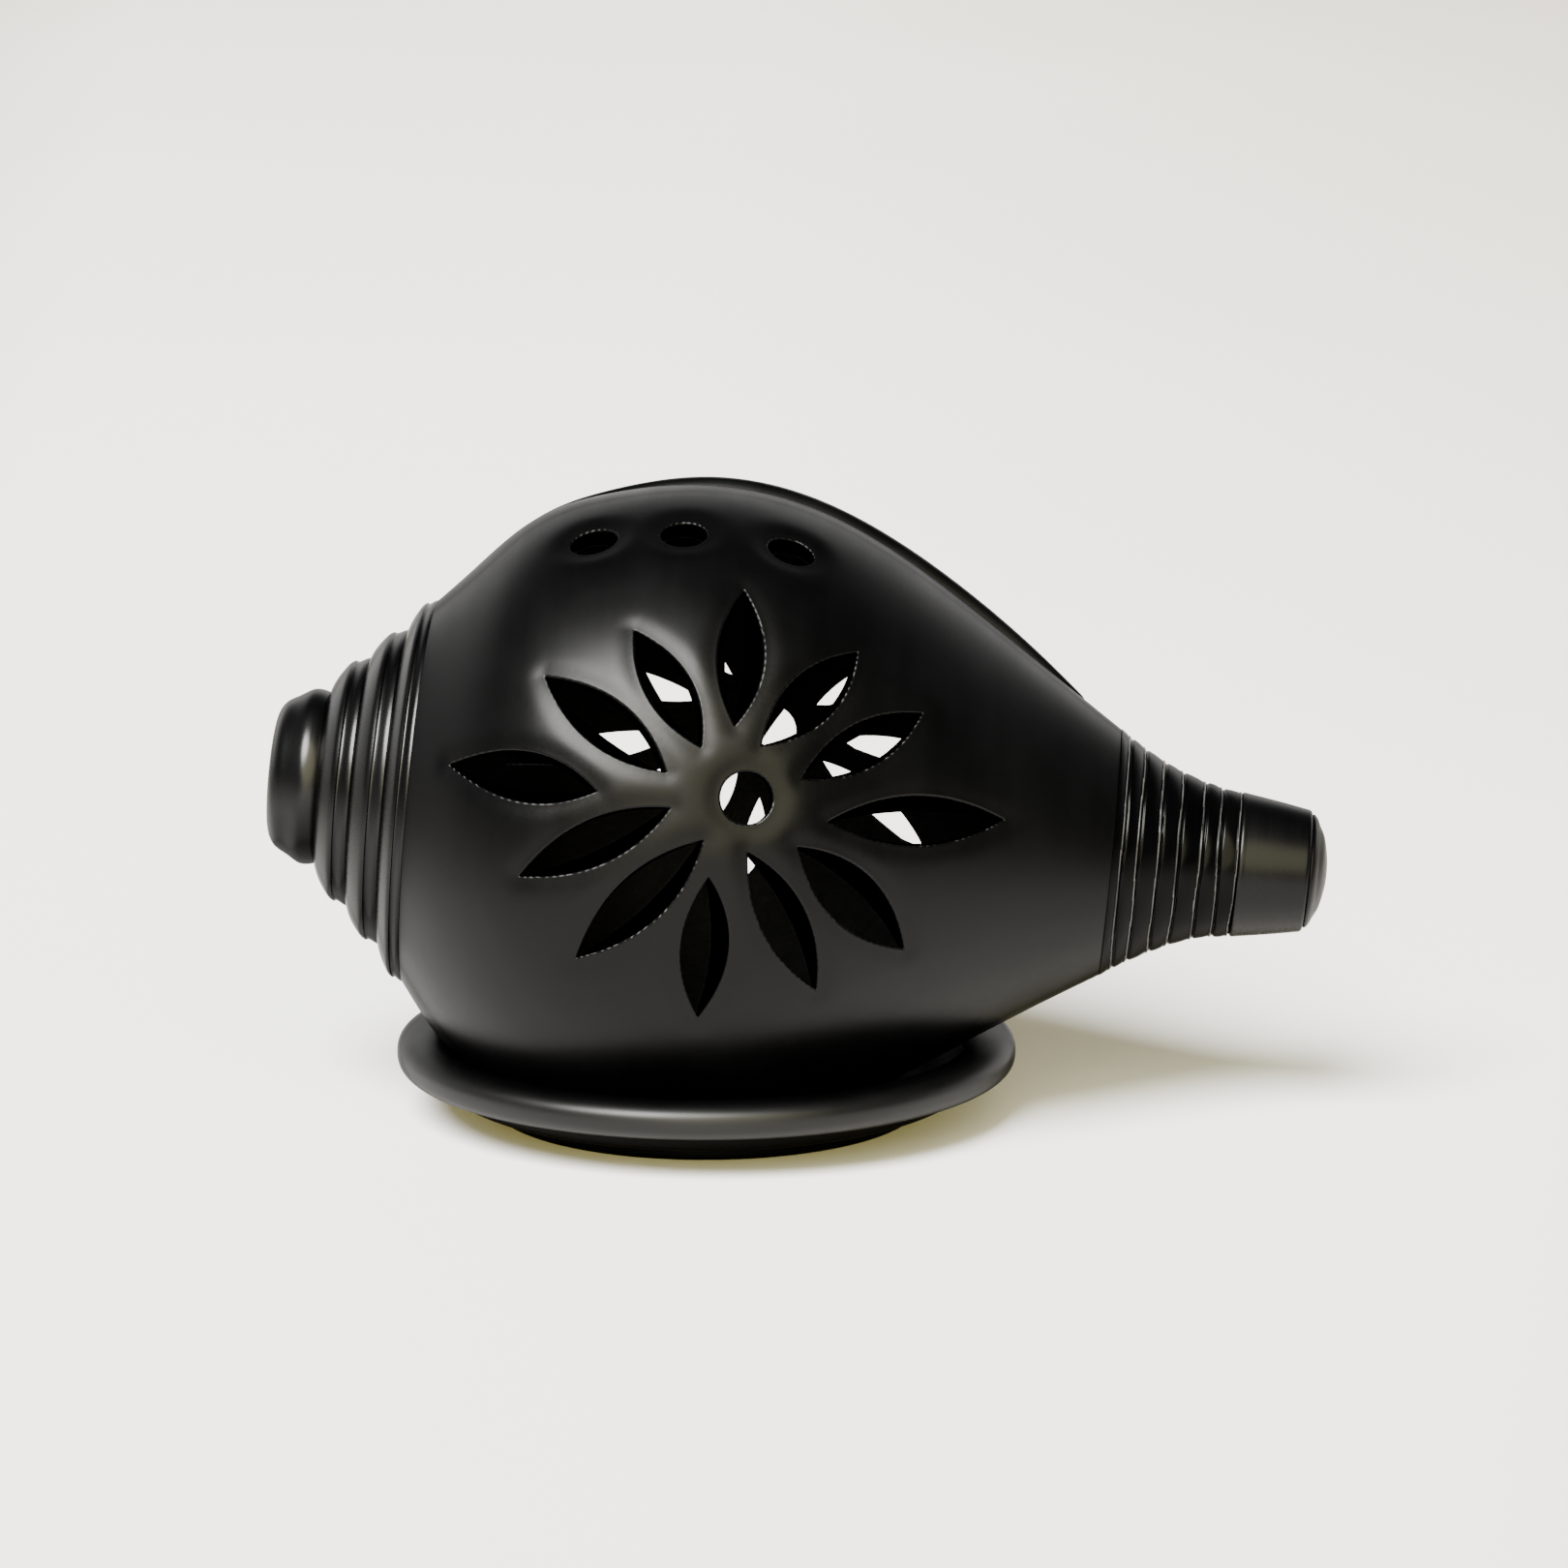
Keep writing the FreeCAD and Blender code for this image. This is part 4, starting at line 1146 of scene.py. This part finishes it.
def build_dish():
    build_rim()
    build_bowl()
    build_foot()


# ---- tealight

CUP_R, CUP_TOP, FOIL_THICK, WAX_TOP, WICK_R = 19.0, 23.0, 0.3, 19.8, 0.8
CUP_INSIDE, CUP_FLOOR = CUP_R - FOIL_THICK, FLOOR_Z + FOIL_THICK


def build_cup():
    """Pressed foil with faint flutes and a rolled edge."""

    def flutes(along, angle, radius):
        on_side = (radius > CUP_R - 1) & (along < CUP_TOP - 1.5) & (along > FLOOR_Z + 1)
        return 0 * along, np.where(on_side, -0.12 + 0.10 * np.cos(48 * angle), 0)

    heel, brow, corner = (FLOOR_Z + 0.6, CUP_R), (CUP_TOP - 0.9, CUP_R), (CUP_FLOOR, CUP_INSIDE)
    tucked = (CUP_TOP - 0.1, CUP_INSIDE - 0.2)
    profile = joined(
        np.array(((FLOOR_Z, 0), (FLOOR_Z, CUP_R - 0.8), heel)),
        np.linspace(heel, brow, 16),
        curve_through((brow, (CUP_TOP, CUP_R - 0.15), tucked), 8),
        np.array((tucked, (CUP_TOP - 0.9, CUP_INSIDE), corner)),
        np.array((corner, (CUP_FLOOR, 0))),
    )
    place = {"kind": "foil", "body": "tealight", "slot": "cup_metal"}
    turned("tealight_cup", FOIL, profile, 288, flutes, **place)


def build_wax():
    """Wax that creeps up the foil and a little up the wick."""
    edge = (WAX_TOP + 0.35, CUP_INSIDE)
    dip = ((WAX_TOP, CUP_INSIDE - 1.2), (WAX_TOP - 0.1, 9), (WAX_TOP + 0.3, WICK_R))
    under = np.array(((CUP_FLOOR, WICK_R), (CUP_FLOOR, CUP_INSIDE), edge))
    profile, wobble = joined(under, curve_through((edge, *dip), 40)), hand_wobble(31, 0.04, 0.0)
    place = {"kind": "fill", "body": "tealight", "slot": "candle_wax"}
    turned("tealight_wax", WAX, profile, 160, wobble, **place)


def build_wick():
    """Three twisted strands with a rounded end."""

    def twist(along, angle, radius):
        return 0 * along, 0.10 * np.cos(3 * (angle + along * 1.6))

    stations = np.linspace(CUP_FLOOR, WAX_TOP + 5.7, 90)
    side = np.stack((stations, np.full_like(stations, WICK_R - 0.1)), -1)
    end = ((WAX_TOP + 5.9, 0.5), (WAX_TOP + 5.95, 0))
    profile = np.concatenate((((CUP_FLOOR, 0),), side, end))
    place = {"kind": "cord", "body": "tealight", "slot": "wick_cotton"}
    turned("tealight_wick", COTTON, profile, 36, twist, **place)


def build_tab():
    """A thin disc with a pinched collar that holds the wick."""
    collar, low = WICK_R + 0.5, CUP_FLOOR
    disc = ((low, WICK_R), (low, 5.8), (low + 0.2, 6.0), (low + 0.4, 5.8))
    tube = ((low + 0.4, collar + 0.3), (low + 0.7, collar), (low + 2.8, collar - 0.05))
    profile = np.array(disc + tube + ((low + 2.9, WICK_R),))
    place = {"kind": "metal", "body": "tealight", "slot": "tab_metal"}
    turned("wick_tab", TAB, profile, 96, **place)


def build_tealight():
    build_cup()
    build_wax()
    build_wick()
    build_tab()


# ---- stage


FLOOR_RINGS = (0.0, 0.25, 0.5, 1.0, 2.0, 4.0, 8.0, 16.0, 40.0)
FLOOR_SEGMENTS = 96
# Name, strength, apparent width in degrees, the way to the light, and tint.
LIGHTS = (
    ("key", 19.0, 34, (-0.30, -0.57, 0.77), (1.0, 0.99, 0.96)),
    ("front_fill", 5.2, 58, (0.08, -0.87, 0.48), (1.0, 0.96, 0.62)),
)
SKY_DARK, SKY_PALE = (0.07, 0.072, 0.08), (3.0, 2.95, 2.9)
CAMERA_AT = (0.1150, -2.1210, 0.5620)
CAMERA_DOWN, CAMERA_TURN, CAMERA_LENS, CAMERA_SENSOR = radians(12.4), radians(2.5), 174.2, 36


def build_floor():
    turn = np.linspace(0, 2 * pi, FLOOR_SEGMENTS, endpoint=False)
    points = [(r * cos(a), r * sin(a), 0) for r in FLOOR_RINGS for a in turn]
    mesh = bpy.data.meshes.new("floor")
    p, f = weld(np.array(points) / MM, lattice_faces(len(FLOOR_RINGS), FLOOR_SEGMENTS))
    mesh.from_pydata((p * MM).tolist(), [], f)
    mesh.materials.append(named(floor_paper, "floor_paper"))
    floor = bpy.data.objects.new("floor", mesh)
    bpy.context.scene.collection.objects.link(floor)


def build_lights():
    """A soft key light and a wide warm fill, both from the flower side."""
    for name, energy, angle, towards, tint in LIGHTS:
        light = bpy.data.lights.new(name, "SUN")
        light.energy = energy
        light.angle = radians(angle)
        light.color = tint
        lamp = bpy.data.objects.new(name, light)
        lamp.rotation_euler = Vector(towards).to_track_quat("Z", "Y").to_euler()
        bpy.context.scene.collection.objects.link(lamp)


def build_sky():
    """A dim sky with a pale band low down at the back, as from a lit wall."""
    world = bpy.data.worlds.new("sky")
    bpy.context.scene.world = world
    n = Nodes(world, "Background", "Generated")
    where = n.axes(n.place)
    low_down = n.spread(where["Z"], 1.0, 0.0, 0.10, 0.66, "SMOOTHSTEP")
    at_back = n.spread(where["Y"], 0.06, 1.0, -0.10, 0.75, "SMOOTHSTEP")
    pale = n.combine(low_down, at_back, "MULTIPLY")
    n.link(n.colours(pale, (0.0, SKY_DARK), (1.0, SKY_PALE)), n.shader.inputs["Color"])


def build_stage():
    build_floor()
    build_lights()
    build_sky()


def build_camera():
    data = bpy.data.cameras.new("camera")
    data.sensor_width = CAMERA_SENSOR
    data.lens = CAMERA_LENS
    camera = bpy.data.objects.new("camera", data)
    camera.location = CAMERA_AT
    camera.rotation_euler = Euler((pi / 2 - CAMERA_DOWN, 0, CAMERA_TURN))
    bpy.context.scene.collection.objects.link(camera)
    bpy.context.scene.camera = camera


build_camera()
build_stage()
build_belly()
build_lip()
build_spire()
build_neck()
build_spout()
build_dish()
build_tealight()
